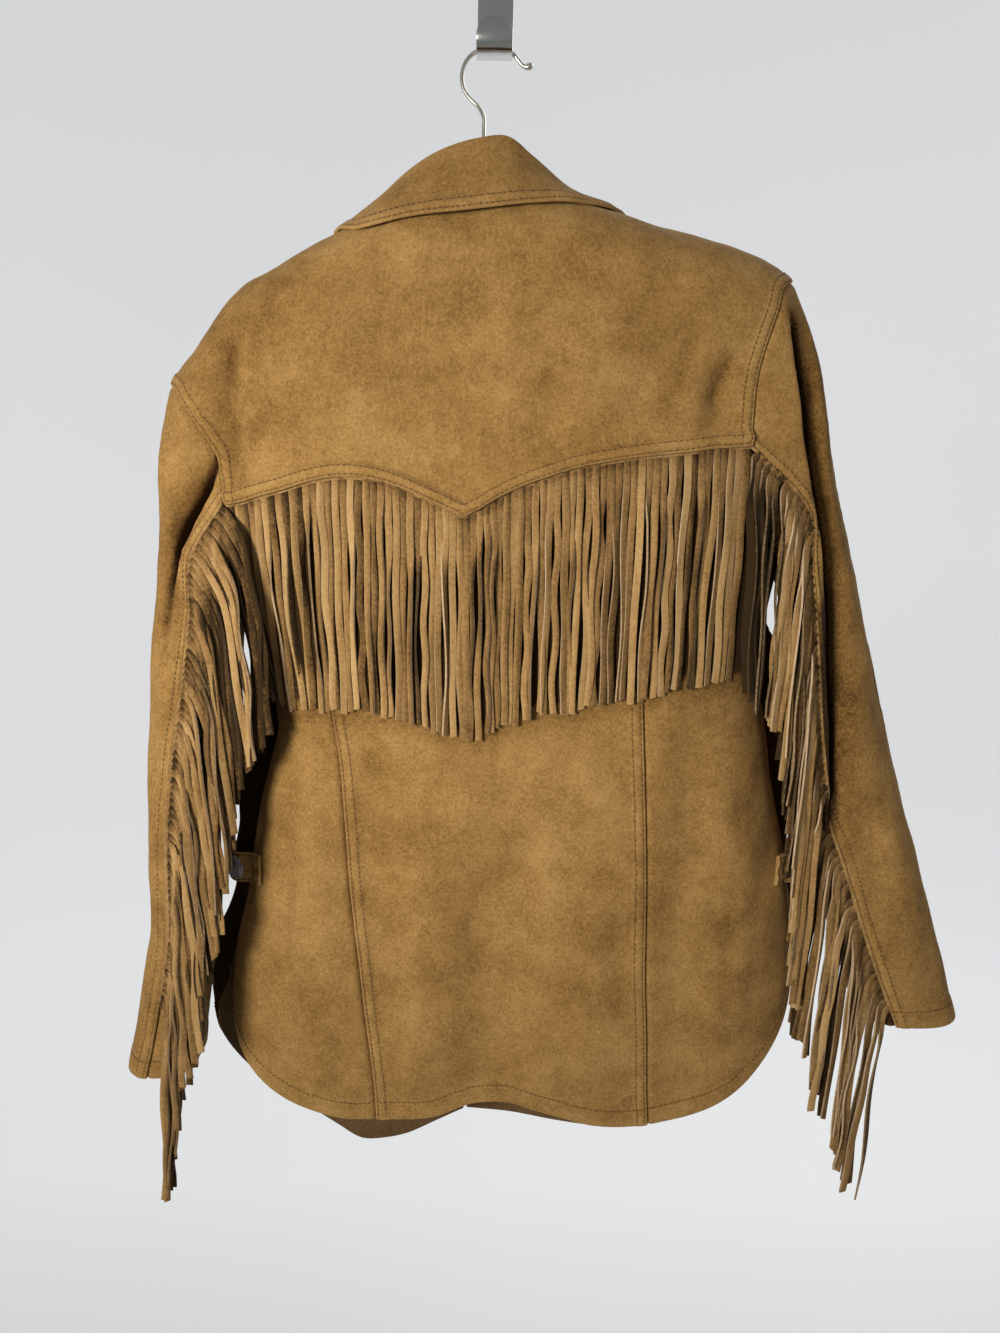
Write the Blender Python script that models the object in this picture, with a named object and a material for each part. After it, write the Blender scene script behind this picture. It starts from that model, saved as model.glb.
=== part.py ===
"""A fringed suede western jacket, buttoned, on a hanger hooked over a door hook; azimuth 0 sees its back.

Every table is in millimetres. x runs to the right seen from the back, y away from the viewer and toward the
door, z up. The origin is the top front edge of the door under the hook's strap. The cloth is one wall, WALL
thick, whose middle surface is a function of the place round the body (w) or the sleeve (a) and the height.
"""

import math

import bpy
import numpy as np

for old in list(bpy.data.objects):
    bpy.data.objects.remove(old, do_unlink=True)

MM = 0.001
WALL = 1.6  # suede with its turnings
GAP = 0.3  # between two pieces at a seam
LIFT = WALL + GAP  # from a panel's middle to that of a piece laid on it

# ---------------------------------------------------------------- named sizes
SEAM_Y = -36.0  # the plane of the shoulder ridge and the side seams
SEAM_HALF = 0.36  # from that plane to the cloth on each side of it
RIDGE_R = 45.0  # how far below the ridge the body reaches its full depth
BODY_N = 2.8  # the body's section is a superellipse of this power
SLEEVE_N = 2.5
ARM_LIFT = 5.0  # how far the sleeve's lower edge lies off the body's wall
LAP = 4.0  # how far the yoke's edge stands off the panels, over the fringe
LAP_FROM, LAP_FULL = 16.0, 7.0  # above the yoke's edge
STRIP = 1.3  # the fringe's backing strip
STRIP_OFF_BACK, STRIP_OFF_SLEEVE = WALL / 2 + GAP + 0.15, WALL / 2 + GAP + 0.45  # from the cloth's middle
STRAND_W, STRAND_T = 4.6, 1.1
STRAND_LONG = 183.0
STRANDS_BACK, STRANDS_LEFT, STRANDS_RIGHT = 72, 72, 78
WIRE_R = 1.65
STRAP_W, STRAP_T = 29.0, 2.0
DOOR_T = 18.0

# Side edges of the body: height, x of the left edge, x of the right edge. Above the armpits the edges are
# those that the body would have if the armholes were filled.
SIDES = [
    (-180, -262, 258), (-266, -266, 262), (-330, -268, 268), (-385, -266, 268),
    (-440, -250, 262), (-490, -228, 250), (-545, -206, 241), (-600, -183, 242),
    (-640, -177, 249), (-690, -187, 259), (-745, -199, 272), (-800, -207, 283),
    (-850, -219, 288), (-900, -223, 290), (-960, -222, 286), (-1090, -222, 286),
]
# Depth of the body behind and before the seam plane: height, back, front.
DEPTHS = [
    (-180, 50, 20), (-300, 62, 22), (-420, 70, 23), (-520, 70, 24), (-620, 66, 24),
    (-720, 62, 24), (-820, 56, 23), (-920, 48, 22), (-1020, 41, 21), (-1090, 38, 20),
]
# How far the fronts belly out beyond the side seams: height, left, right.
BELLY = [
    (-500, 0, 0), (-540, 0, 0), (-565, 4, 6), (-595, 15, 12), (-640, 29, 14), (-695, 29, 16), (-728, 14, 12),
    (-742, 5, 4), (-752, 2, 0), (-776, 2, 0), (-790, 2, 5), (-812, 7, 7), (-850, 12, 8), (-945, 11, 8),
    (-1000, 7, 4), (-1090, 0, 0),
]
BELLY_AT = 0.1  # the belly is full this far round from the side seam, as a share of w, and gone at BELLY_TO
BELLY_TO = 0.36
# The shoulder ridge, from the left shoulder's tip to the right one's, over the open neck.
RIDGE = [
    (-266, -363), (-262, -358.6), (-257, -350), (-240, -329), (-226, -310.5), (-209, -289.5),
    (-199, -279.5), (-179, -268), (-154, -254), (-130, -241.5), (-100, -225), (-70, -211),
    (-40, -203), (-8, -200), (30, -200.5), (60, -205), (80, -211), (104, -218), (137, -226.5),
    (170, -234), (203, -243.5), (224, -250.5), (236, -257), (246.5, -266.5), (252, -274),
]
TIP_L, TIP_R = (-262.0, -358.6), (246.5, -266.5)
NECK_L, NECK_R = (-88.0, -219.2), (72.0, -208.4)
PIT_L, PIT_R = (-206.0, -545.0), (250.0, -490.0)
YOKE_L, YOKE_R = (-206.0, -453.5), (210.3, -398.5)
SIDE_L, SIDE_R = (-220.8, -868.0), (287.6, -837.0)

NECK_BACK = [
    NECK_L, (-76, -219.5), (-58, -218), (-36, -216), (-8, -214), (18, -212.5), (42, -211), (60, -210),
    NECK_R,
]
ARM_BACK_L = [
    TIP_L, (-248.6, -366), (-244.2, -372.5), (-233.4, -388), (-222.6, -402.5), (-214.6, -416),
    (-211.5, -430), YOKE_L,
]
ARM_LOW_L = [YOKE_L, (-204.5, -480), (-206, -520), PIT_L]
ARM_BACK_R = [
    TIP_R, (233, -276.5), (227.9, -294.1), (220.2, -317.6), (214.2, -339.5), (211.9, -359.7),
    (211.4, -381.9), YOKE_R,
]
ARM_LOW_R = [YOKE_R, (212, -422), (219, -450), (233, -475), PIT_R]
ARM_FRONT_L = [TIP_L, (-252, -374), (-236, -396), (-222, -424), (-213, -460), (-208, -505), PIT_L]
ARM_FRONT_R = [TIP_R, (236, -285), (224, -315), (217, -350), (215, -390), (219, -430), (232, -468), PIT_R]
# The yoke's lower edge, in two sweeps that meet in a point at the middle of the back.
V_POINT = (-14.4, -458.5)
YOKE_SWEEP_L = [
    YOKE_L, (-193.6, -451.5), (-178.6, -446.8), (-157.9, -441), (-137.4, -434.4), (-116.9, -430.3),
    (-103.9, -429.7), (-83.5, -432), (-64.9, -437), (-46.2, -444.5), (-27.5, -452.7), V_POINT,
]
YOKE_SWEEP_R = [
    V_POINT, (-5.1, -453.6), (12.9, -442.5), (35.1, -432), (54, -425), (72.8, -419), (101.1, -412.8),
    (129.4, -408.4), (157.6, -405), (185.8, -401.5), YOKE_R,
]
# The two seams down the back, from under the yoke to the hem.
PRINCESS_L = [
    (-129, -432.5), (-125.5, -560), (-122.6, -622), (-117.1, -660), (-113, -712), (-108.8, -780),
    (-101.9, -850), (-96.3, -910), (-90.7, -959), (-87, -1005.6),
]
PRINCESS_R = [
    (128, -408.6), (131, -520), (134.2, -606), (139.7, -680), (145, -756), (150.5, -867), (154, -908),
    (158, -971), (160.9, -1005.4),
]
HEM_BACK_L = [
    SIDE_L, (-221.3, -900), (-215, -936), (-203, -962), (-186, -980), (-168, -991.5), (-146.6, -1000),
    (-118, -1006.8), PRINCESS_L[-1],
]
HEM_BACK_C = [
    PRINCESS_L[-1], (-51, -1003), (-34.5, -1000), (-17.7, -993), (-1.6, -986.5), (15.5, -984.3),
    (31.7, -984), (53.6, -990), (81.8, -997.6), (111, -1005.5), (135.6, -1007.2), PRINCESS_R[-1],
]
HEM_BACK_R = [
    PRINCESS_R[-1], (192.2, -998.7), (218, -988.5), (241, -973), (263, -948), (280, -915), (287.5, -880),
    SIDE_R,
]
CENTRE_X = -8.0  # the fronts meet here, FRONT_SPLIT off it on each side
FRONT_SPLIT = 1.5
CLOSE_L, CLOSE_R = CENTRE_X - FRONT_SPLIT, CENTRE_X + FRONT_SPLIT
NECK_FRONT_L = [NECK_L, (-84, -235), (-72, -258), (-50, -279), (-26, -289), (CLOSE_L, -292)]
NECK_FRONT_R = [(CLOSE_R, -292), (10, -287.5), (34, -274), (55, -251), (68, -228), NECK_R]
HEM_FRONT_L = [
    SIDE_L, (-221.5, -905), (-212, -955), (-190, -1003), (-160, -1040), (-128, -1060), (-104, -1069),
    (-82, -1066.5), (-62, -1061), (-40, -1050), (CLOSE_L, -1034),
]
HEM_FRONT_R = [
    (CLOSE_R, -1033), (30, -1036), (80, -1045), (130, -1049), (180, -1041), (225, -1012), (262, -958),
    (284, -895), SIDE_R,
]

# Soft folds of the back: start x, z, end x, z, half width, depth (in is plus).
FOLDS_BACK = [
    (-203, -318, -206, -425, 11, 7.0), (184, -340, 178, -402, 12, 4.5), (150, -300, 118, -372, 22, 2.5),
    (-150, -275, -120, -400, 34, -2.5), (70, -260, 90, -400, 44, -3.0), (-45, -250, -60, -420, 40, 1.8),
    (-148, -640, -152, -985, 26, -4.5), (-96, -660, -78, -985, 22, 5.0), (-25, -650, -40, -1000, 34, -3.5),
    (15, -720, 10, -990, 34, 4.5), (100, -650, 96, -1006, 38, -4.0), (176, -640, 182, -1000, 20, 4.5),
    (222, -640, 232, -985, 22, -4.0), (262, -700, 246, -800, 12, 3.5), (238, -762, 198, -800, 12, 3.0),
    (-192, -700, -196, -960, 12, 3.0),
]
FOLDS_FRONT = [
    (-150, -560, -160, -1030, 34, -4.0), (-80, -620, -70, -1060, 30, 4.0), (70, -640, 66, -1040, 32, -4.0),
    (150, -560, 160, -1030, 36, 3.5), (215, -620, 226, -990, 26, -3.0), (-185, -420, -150, -500, 22, -3.0),
    (180, -380, 150, -470, 22, -3.0),
]

# Sleeve sections below the armhole: z outside, z inside, x outside, x inside, y back, y front.
RINGS_L = [
    (-405, -572, -264.5, -208, -92, -13), (-475, -606, -269.5, -209, -95, -12),
    (-556, -645, -275.5, -217, -98, -12), (-648, -690, -282, -228, -100, -12),
    (-742, -742, -285.5, -234, -101, -12), (-820, -820, -287, -237, -101, -12),
    (-888, -888, -298, -243, -101, -13), (-955, -953, -311, -251, -101, -14),
]
RINGS_R = [
    (-332, -522, 269, 254, -89, -12), (-412, -558, 288.5, 256, -93, -12), (-502, -602, 315, 261, -95, -12),
    (-592, -655, 340, 271, -95, -12), (-680, -714, 365, 287, -95, -12), (-760, -778, 391, 307, -94, -12),
    (-832, -842, 414.5, 329, -93, -12), (-893, -895, 434, 350, -92, -13),
]
# Where the fringed seam runs round each sleeve: at the armhole, then at each section.
SEAM_A_L = [0.27, 0.262, 0.262, 0.262, 0.258, 0.252, 0.250, 0.240, 0.225]
SEAM_A_R = [0.283, 0.284, 0.292, 0.315, 0.338, 0.352, 0.346, 0.335, 0.325]
SEAM_A_FRONT = 0.70  # where the sleeve's other seam runs
# Creases of the sleeves' back face: start x, z, end x, z, half width, depth.
FOLDS_SLEEVE_L = [
    (-214, -428, -252, -497, 9, 9.0), (-252, -497, -258, -540, 10, 4.0), (-283, -600, -262, -700, 13, 3.5),
    (-290, -770, -281, -850, 9, 3.0),
]
FOLDS_SLEEVE_R = [
    (249, -276, 262, -380, 8, 7.0), (262, -380, 283, -480, 9, 11.0), (283, -480, 297, -620, 10, 13.0),
    (297, -620, 299, -672, 10, 4.0), (340, -560, 352, -700, 13, 4.0), (330, -690, 345, -800, 12, 3.0),
]

# The collar, from the left front end round the back to the right front end: the place along it, then x and
# z of its neck edge, x, y and z of its roll, and x, z and the stand off of its free edge. part is -1 behind,
# 1 before and 0 on the ridge.
COLLAR = [
    # s, part, neck x, z, roll x, y, z, edge x, z, off
    (0.00, 1, -10, -290.5, -14, -8.6, -285, -66, -352, 1.2),
    (0.08, 1, -48, -280, -54, -9.5, -266, -97, -318, 1.6),
    (0.18, 1, -76, -253, -85, -16, -238, -121, -272, 1.6),
    (0.27, 0, -88, -219.2, -94, -35, -217, -127, -236, 0.8),
    (0.34, -1, -74, -219, -78, -54, -203, -101, -241.5, 1.8),
    (0.42, -1, -42, -216.3, -46, -64, -182, -60, -234, 4.5),
    (0.50, -1, -8, -214, -9, -67.5, -170.3, -17, -229, 5.5),
    (0.54, -1, 8, -213.1, 10, -67.5, -168.3, 6, -225.6, 5.5),
    (0.60, -1, 30, -211.8, 32, -63, -181, 32, -221.5, 5.0),
    (0.67, -1, 58, -210, 58, -51, -198, 68, -216.8, 2.5),
    (0.73, 0, 72, -208.4, 79, -35, -207, 108, -215.8, 0.8),
    (0.82, 1, 63, -240, 72, -16, -225, 106, -254, 1.6),
    (0.92, 1, 36, -272.5, 42, -9.5, -256, 82, -306, 1.6),
    (1.00, 1, -6, -290.5, -2, -8.6, -285, 50, -341, 1.2),
]
COLLAR_T, STAND_T = 1.8, 1.4  # the fall's cloth and the stand's
FALL_ROWS = [0.0, 0.1, 0.35, 0.68, 1.0]  # from the roll to the free edge
NECK_IN = 3.0  # from the neck's edge in to the stand
NECK_AT = (0.27, 0.73)  # where the collar crosses the shoulder ridge


# ---------------------------------------------------------------- curves
def hermite(knots, values, at):
    """Smooth values at the places asked, through a row of values at the knots."""
    knots, values, at = np.asarray(knots, float), np.asarray(values, float), np.asarray(at, float)
    flat = values.reshape(len(knots), -1)
    gaps = np.diff(knots)[:, None]
    slope = np.diff(flat, axis=0) / gaps
    tangent = np.empty_like(flat)
    tangent[0], tangent[-1] = slope[0], slope[-1]
    tangent[1:-1] = (gaps[1:] * slope[:-1] + gaps[:-1] * slope[1:]) / (gaps[1:] + gaps[:-1])
    q = np.clip(at.ravel(), knots[0], knots[-1])
    i = np.clip(np.searchsorted(knots, q) - 1, 0, len(gaps) - 1)
    h = gaps[i]
    u = ((q - knots[i])[:, None]) / h
    u2, u3 = u * u, u * u * u
    start = (2 * u3 - 3 * u2 + 1) * flat[i] + (u3 - 2 * u2 + u) * h * tangent[i]
    end = (3 * u2 - 2 * u3) * flat[i + 1] + (u3 - u2) * h * tangent[i + 1]
    return (start + end).reshape(at.shape + values.shape[1:])


def curve(points):
    """A smooth line through points, as a function of 0..1 of its length."""
    p = np.array(points, float)
    knots = np.concatenate([[0], np.cumsum(np.linalg.norm(np.diff(p, axis=0), axis=1))])
    fine = hermite(knots, p, np.linspace(0, knots[-1], 24 * len(p)))
    run = np.concatenate([[0], np.cumsum(np.linalg.norm(np.diff(fine, axis=0), axis=1))])
    run /= run[-1]
    return lambda s: np.stack([np.interp(s, run, fine[:, k]) for k in range(p.shape[1])], -1)


def end_to_end(a, b, at):
    """One function of 0..1 from two, the second from the place asked."""

    def line(s):
        s = np.asarray(s, float)
        first, second = a(np.clip(s / at, 0, 1)), b(np.clip((s - at) / (1 - at), 0, 1))
        return np.where((s <= at)[..., None], first, second)

    return line


def joined(first, second, at):
    return end_to_end(curve(first), curve(second), at)


def joined3(first, second, third, at, to):
    return end_to_end(joined(first, second, at / to), curve(third), to)


def smoothstep(v):
    v = np.clip(v, 0, 1)
    return v * v * (3 - 2 * v)


def folds(x, z, rows):
    """Depth of the soft folds at a place: each is a trough with tapered ends along its line."""
    total = np.zeros_like(x)
    for x0, z0, x1, z1, width, depth in rows:
        length2 = (x1 - x0) ** 2 + (z1 - z0) ** 2
        along = ((x - x0) * (x1 - x0) + (z - z0) * (z1 - z0)) / length2
        k = np.clip(along, 0, 1)
        off2 = (x - x0 - k * (x1 - x0)) ** 2 + (z - z0 - k * (z1 - z0)) ** 2
        tapered = smoothstep((along + 0.15) / 0.4) * smoothstep((1.15 - along) / 0.4)
        total += depth * np.exp(-off2 / width**2) * tapered
    return total


# ---------------------------------------------------------------- the body's form
# A quarter of the section: how far out and how deep it is, and the share of the cloth's length to there.
SLIM = 0.28  # a quarter's depth to its width, near enough
_turn = np.linspace(0, math.pi / 2, 600)
_xi, _dep = np.sin(_turn) ** (2 / BODY_N), np.cos(_turn) ** (2 / BODY_N)
_run = np.concatenate([[0], np.cumsum(np.hypot(np.diff(_xi), SLIM * np.diff(_dep)))])
_run /= _run[-1]
_sides, _depths, _ridge = np.array(SIDES, float)[::-1], np.array(DEPTHS, float)[::-1], np.array(RIDGE, float)
_belly = np.array(BELLY, float)[::-1]


def sides(z):
    edges = hermite(_sides[:, 0], _sides[:, 1:], z)
    return (edges[..., 0] + edges[..., 1]) / 2, (edges[..., 1] - edges[..., 0]) / 2


def ridge(x):
    return hermite(_ridge[:, 0], _ridge[:, 1], x)


def to_w(points):
    """(x, z) on the body as (w, z), w from -1 at the left side seam to 1 at the right one."""
    x, z = points[..., 0], points[..., 1]
    middle, half = sides(z)
    xi = np.clip((x - middle) / half, -1, 1)
    return np.stack([np.sign(xi) * np.interp(np.abs(xi), _xi, _run), z], -1)


def body(w, z, front=False):
    middle, half = sides(z)
    x = middle + half * np.sign(w) * np.interp(np.abs(w), _run, _xi)
    round_in = np.interp(np.abs(w), _run, _dep)
    below = np.clip((ridge(x) - z) / RIDGE_R, 0, 1)
    arch = np.sqrt(np.clip(1 - (1 - below) ** 2, 0, 1))
    depth = hermite(_depths[:, 0], _depths[:, 1:], z)
    share = round_in * arch
    if front:
        y = SEAM_Y + SEAM_HALF + depth[..., 1] * share - folds(x, z, FOLDS_FRONT) * share
        out = hermite(_belly[:, 0], _belly[:, 1:], z)
        from_seam = 1 - np.abs(w)
        full = np.sin(np.clip(from_seam / BELLY_AT, 0, 1) * math.pi / 2)
        full *= smoothstep((BELLY_TO - from_seam) / (BELLY_TO - BELLY_AT))
        x = x + np.where(w < 0, -out[..., 0], out[..., 1]) * full
    else:
        y = SEAM_Y - SEAM_HALF - depth[..., 0] * share + folds(x, z, FOLDS_BACK) * share
    return np.stack([x, y, z], -1)


def patch(top, bottom, left, right, front=False):
    """The middle surface of a panel between four edges given as (x, z)."""
    corner = {(i, j): to_w((top if j == 0 else bottom)(np.array(float(i)))) for i in (0, 1) for j in (0, 1)}

    def surface(s, t):
        a, b, c, d = to_w(top(s)), to_w(bottom(s)), to_w(left(t)), to_w(right(t))
        s1, t1 = s[..., None], t[..., None]
        q = (1 - t1) * a + t1 * b + (1 - s1) * c + s1 * d
        q -= (1 - s1) * ((1 - t1) * corner[0, 0] + t1 * corner[0, 1])
        q -= s1 * ((1 - t1) * corner[1, 0] + t1 * corner[1, 1])
        return body(q[..., 0], q[..., 1], front)

    return surface


def clear_of_body(p, by):
    """Moves a piece that lies over the body out to a form that stands off it by one distance all over."""
    q = to_w(np.stack([p[..., 0], p[..., 2]], -1))
    round_in = np.interp(np.abs(q[..., 0]), _run, _dep)
    below = np.clip((ridge(p[..., 0]) + by - p[..., 2]) / (RIDGE_R + by), 0, 1)
    arch = np.sqrt(np.clip(1 - (1 - below) ** 2, 0, 1))
    depth = hermite(_depths[:, 0], _depths[:, 1:], p[..., 2]) + by
    behind = p[..., 1] < SEAM_Y
    need = np.where(behind, depth[..., 0], depth[..., 1]) * round_in * arch
    off = np.maximum(np.abs(p[..., 1] - SEAM_Y), need)
    return np.stack([p[..., 0], np.where(behind, SEAM_Y - off, SEAM_Y + off), p[..., 2]], -1)


# ---------------------------------------------------------------- the sleeves' form
_ring_turn = np.linspace(0, 2 * math.pi, 1201)
_rc, _rs = np.cos(_ring_turn), np.sin(_ring_turn)
_rc, _rs = np.sign(_rc) * np.abs(_rc) ** (2 / SLEEVE_N), np.sign(_rs) * np.abs(_rs) ** (2 / SLEEVE_N)
_rrun = np.concatenate([[0], np.cumsum(np.hypot(np.diff(_rc), np.diff(_rs)))])
_rrun /= _rrun[-1]


def across_body(q, is_front):
    """The body's normals at rows of (w, z), facing away from the seam plane."""
    dw = body(q[:, 0] + 1e-3, q[:, 1], is_front) - body(q[:, 0] - 1e-3, q[:, 1], is_front)
    dz = body(q[:, 0], q[:, 1] + 0.05, is_front) - body(q[:, 0], q[:, 1] - 0.05, is_front)
    n = unit(np.cross(dw, dz))
    n[n[:, 1] * (1 if is_front else -1) < 0] *= -1
    return n


def armhole_loop(back_high, back_low, front):
    """The armhole's edge as a function of a: 0 at the shoulder's tip, 0.5 at the armpit, the back first."""
    loop = []
    for lines, is_front in (((back_high, back_low), False), ((front,), True)):
        flat = np.concatenate([curve(line)(np.linspace(0, 1, 120)) for line in lines])
        q = to_w(flat)
        p = body(q[:, 0], q[:, 1], is_front)
        run = np.concatenate([[0], np.cumsum(np.linalg.norm(np.diff(p, axis=0), axis=1) + 1e-9)])
        a = run / run[-1] / 2
        # Low down, where the sleeve folds back over the body, its edge lies on the body's wall.
        n = across_body(q, is_front)
        n[-1] = (-1.0 if p[-1, 0] < 0 else 1.0, 0, 0)
        n[-2] = n[-1]
        p = p + n * (ARM_LIFT * smoothstep((a - 0.24) / 0.08))[:, None]
        loop.append((a, p))
    a = np.concatenate([loop[0][0], 1 - loop[1][0][::-1]])
    p = np.concatenate([loop[0][1], loop[1][1][::-1]])
    return a, p


def sleeve(loop, rings, creases, outward):
    """The sleeve's middle surface as a function of t, 0 at the armhole and 1 at the cuff, and a round it."""
    loop_a, loop_p = loop
    steps = [0.0]
    last = (np.mean(loop_p[:, 0]), np.mean(loop_p[:, 2]))
    for z_out, z_in, x_out, x_in, _, _ in rings:
        here = ((x_out + x_in) / 2, (z_out + z_in) / 2)
        steps.append(steps[-1] + math.hypot(here[0] - last[0], here[1] - last[1]))
        last = here
    knots = np.array(steps) / steps[-1]

    def surface(t, a):
        t, a = np.broadcast_arrays(np.asarray(t, float), np.asarray(a, float))
        turn = np.mod(a, 1.0)
        c, s = np.interp(turn, _rrun, _rc), np.interp(turn, _rrun, _rs)
        sections = [np.stack([np.interp(turn, loop_a, loop_p[:, k]) for k in range(3)], -1)]
        for z_out, z_in, x_out, x_in, y_back, y_front in rings:
            sections.append(np.stack([
                (x_out + x_in) / 2 + (x_out - x_in) / 2 * c,
                (y_back + y_front) / 2 + (y_back - y_front) / 2 * s,
                (z_out + z_in) / 2 + (z_out - z_in) / 2 * c,
            ], -1))
        sections = np.array(sections)
        gaps = np.diff(knots)
        slope = np.diff(sections, axis=0) / gaps.reshape((-1,) + (1,) * (sections.ndim - 1))
        tangent = np.empty_like(sections)
        tangent[0], tangent[-1] = slope[0], slope[-1]
        g = gaps.reshape((-1,) + (1,) * (sections.ndim - 1))
        tangent[1:-1] = (g[1:] * slope[:-1] + g[:-1] * slope[1:]) / (g[1:] + g[:-1])
        i = np.clip(np.searchsorted(knots, t) - 1, 0, len(gaps) - 1)
        h = gaps[i]
        u = (t - knots[i]) / h

        def pick(table, at):
            return np.take_along_axis(table, at[None, ..., None].repeat(3, -1), 0)[0]

        u, h = u[..., None], h[..., None]
        u2, u3 = u * u, u * u * u
        p = (2 * u3 - 3 * u2 + 1) * pick(sections, i) + (u3 - 2 * u2 + u) * h * pick(tangent, i)
        p += (3 * u2 - 2 * u3) * pick(sections, i + 1) + (u3 - u2) * h * pick(tangent, i + 1)
        # The head of the sleeve stands a little proud of the armhole.
        p[..., 0] += outward * 1.5 * np.sin(np.clip(t * 6, 0, 1) * math.pi) * np.clip(c, 0, 1)
        p[..., 1] += folds(p[..., 0], p[..., 2], creases) * smoothstep(s * 2) * smoothstep(t * 30)
        return p

    return surface, knots


def seam_a(knots, rows):
    return lambda t: hermite(knots, rows, t)


# ---------------------------------------------------------------- finishes
# Pieces by the start of their names, colour, roughness and metallic value. The first match is used.
FINISHES = [
    # pieces, colour, roughness, metallic
    (("tab_button", "front_button"), (0.055, 0.043, 0.035, 1), 0.38, 0.0),
    (("fringe",), (0.30, 0.178, 0.072, 1), 0.92, 0.0),
    (("hanger_bar",), (0.36, 0.19, 0.08, 1), 0.5, 0.0),
    (("hanger_hook", "door_hook"), (0.62, 0.60, 0.56, 1), 0.25, 1.0),
    (("",), (0.34, 0.205, 0.082, 1), 0.9, 0.0),
]


def finish_of(name):
    starts, colour, roughness, metallic = next(row for row in FINISHES if name.startswith(row[0]))
    label = "finish_" + (starts[0] or "suede")
    made = bpy.data.materials.get(label)
    if made is None:
        made = bpy.data.materials.new(label)
        made.use_nodes = True
        shader = made.node_tree.nodes["Principled BSDF"]
        shader.inputs["Base Color"].default_value = colour
        shader.inputs["Roughness"].default_value = roughness
        shader.inputs["Metallic"].default_value = metallic
    return made


# ---------------------------------------------------------------- meshes
def add(name, points, faces):
    mesh = bpy.data.meshes.new(name)
    corners = [tuple(p) for p in np.asarray(points) * MM]
    mesh.from_pydata(corners, [], [tuple(int(i) for i in f) for f in faces])
    mesh.update()
    mesh.shade_smooth()
    mesh.set_sharp_from_angle(angle=math.radians(35))
    mesh.materials.append(finish_of(name))
    obj = bpy.data.objects.new(name, mesh)
    bpy.context.scene.collection.objects.link(obj)
    return obj


def oriented(points, faces):
    """Turns the faces so that the closed body has a positive volume."""
    p = np.asarray(points)
    volume = 0.0
    for f in faces:
        for k in range(1, len(f) - 1):
            volume += np.dot(p[f[0]], np.cross(p[f[k]], p[f[k + 1]]))
    return [tuple(reversed(f)) for f in faces] if volume < 0 else faces


def unit(v):
    return v / np.maximum(np.linalg.norm(v, axis=-1, keepdims=True), 1e-12)


def normals_of(surface, s, t, step=3e-4):
    """The surface's normals, from short steps on it that stay inside its edges."""
    ds = surface(np.clip(s + step, 0, 1), t) - surface(np.clip(s - step, 0, 1), t)
    dt = surface(s, np.clip(t + step, 0, 1)) - surface(s, np.clip(t - step, 0, 1))
    return unit(np.cross(ds, dt))


def grid_normals(grid):
    """Normals at a grid's inner points, from the lines between the neighbours on each side."""
    return unit(np.cross(grid[2:, 1:-1] - grid[:-2, 1:-1], grid[1:-1, 2:] - grid[1:-1, :-2]))


def wall(name, surface, s, t, thick=WALL, out=None, facing=None):
    """A closed wall on a middle surface at s by t. out moves it along its normal, facing says which way."""
    s, t = np.meshgrid(s, t, indexing="ij")
    grid = surface(s, t)
    n = normals_of(surface, s, t)
    if min(grid.shape[:2]) > 2:
        inside = grid_normals(grid)
        nearest = np.pad(inside, ((1, 1), (1, 1), (0, 0)), mode="edge")
        n *= np.where(np.sum(n * nearest, axis=-1, keepdims=True) < 0, -1, 1)
        n[1:-1, 1:-1] = inside
    if facing is not None and np.sum(n * facing(grid)) < 0:
        n = -n
    out = 0.0 if out is None else out(s, t, grid)[..., None] if callable(out) else out
    outer, inner = grid + n * (out + thick / 2), grid + n * (out - thick / 2)
    rows, cols = grid.shape[:2]
    points = np.concatenate([outer.reshape(-1, 3), inner.reshape(-1, 3)])
    under = rows * cols
    at = np.arange(under).reshape(rows, cols)
    back = at + under
    faces = []
    for i in range(rows - 1):
        for j in range(cols - 1):
            a, b, c, d = at[i, j], at[i + 1, j], at[i + 1, j + 1], at[i, j + 1]
            falling, rising = grid[i, j] - grid[i + 1, j + 1], grid[i + 1, j] - grid[i, j + 1]
            if np.linalg.norm(falling) > np.linalg.norm(rising):
                a, b, c, d = b, c, d, a  # both sides are cut along the same, shorter diagonal
            for one, two, three in ((a, b, c), (a, c, d)):
                faces.append((one, two, three))
                faces.append((three + under, two + under, one + under))
    rim = [(i, 0) for i in range(rows)] + [(rows - 1, j) for j in range(1, cols)]
    rim += [(i, cols - 1) for i in range(rows - 2, -1, -1)] + [(0, j) for j in range(cols - 2, 0, -1)]
    for k, (i, j) in enumerate(rim):
        m, n2 = rim[(k + 1) % len(rim)]
        faces.append((at[m, n2], at[i, j], back[i, j], back[m, n2]))
    return add(name, points, oriented(points, faces))


def rings_mesh(name, rings):
    """A closed body through rings of the same number of points, capped at both ends."""
    rings = np.asarray(rings, float)
    count, around = rings.shape[:2]
    points = rings.reshape(-1, 3)
    faces = []
    for i in range(count - 1):
        for j in range(around):
            k = (j + 1) % around
            faces.append((i * around + j, i * around + k, (i + 1) * around + k, (i + 1) * around + j))
    faces.append(tuple(range(around))[::-1])
    faces.append(tuple((count - 1) * around + j for j in range(around)))
    return add(name, points, oriented(points, faces))


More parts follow.
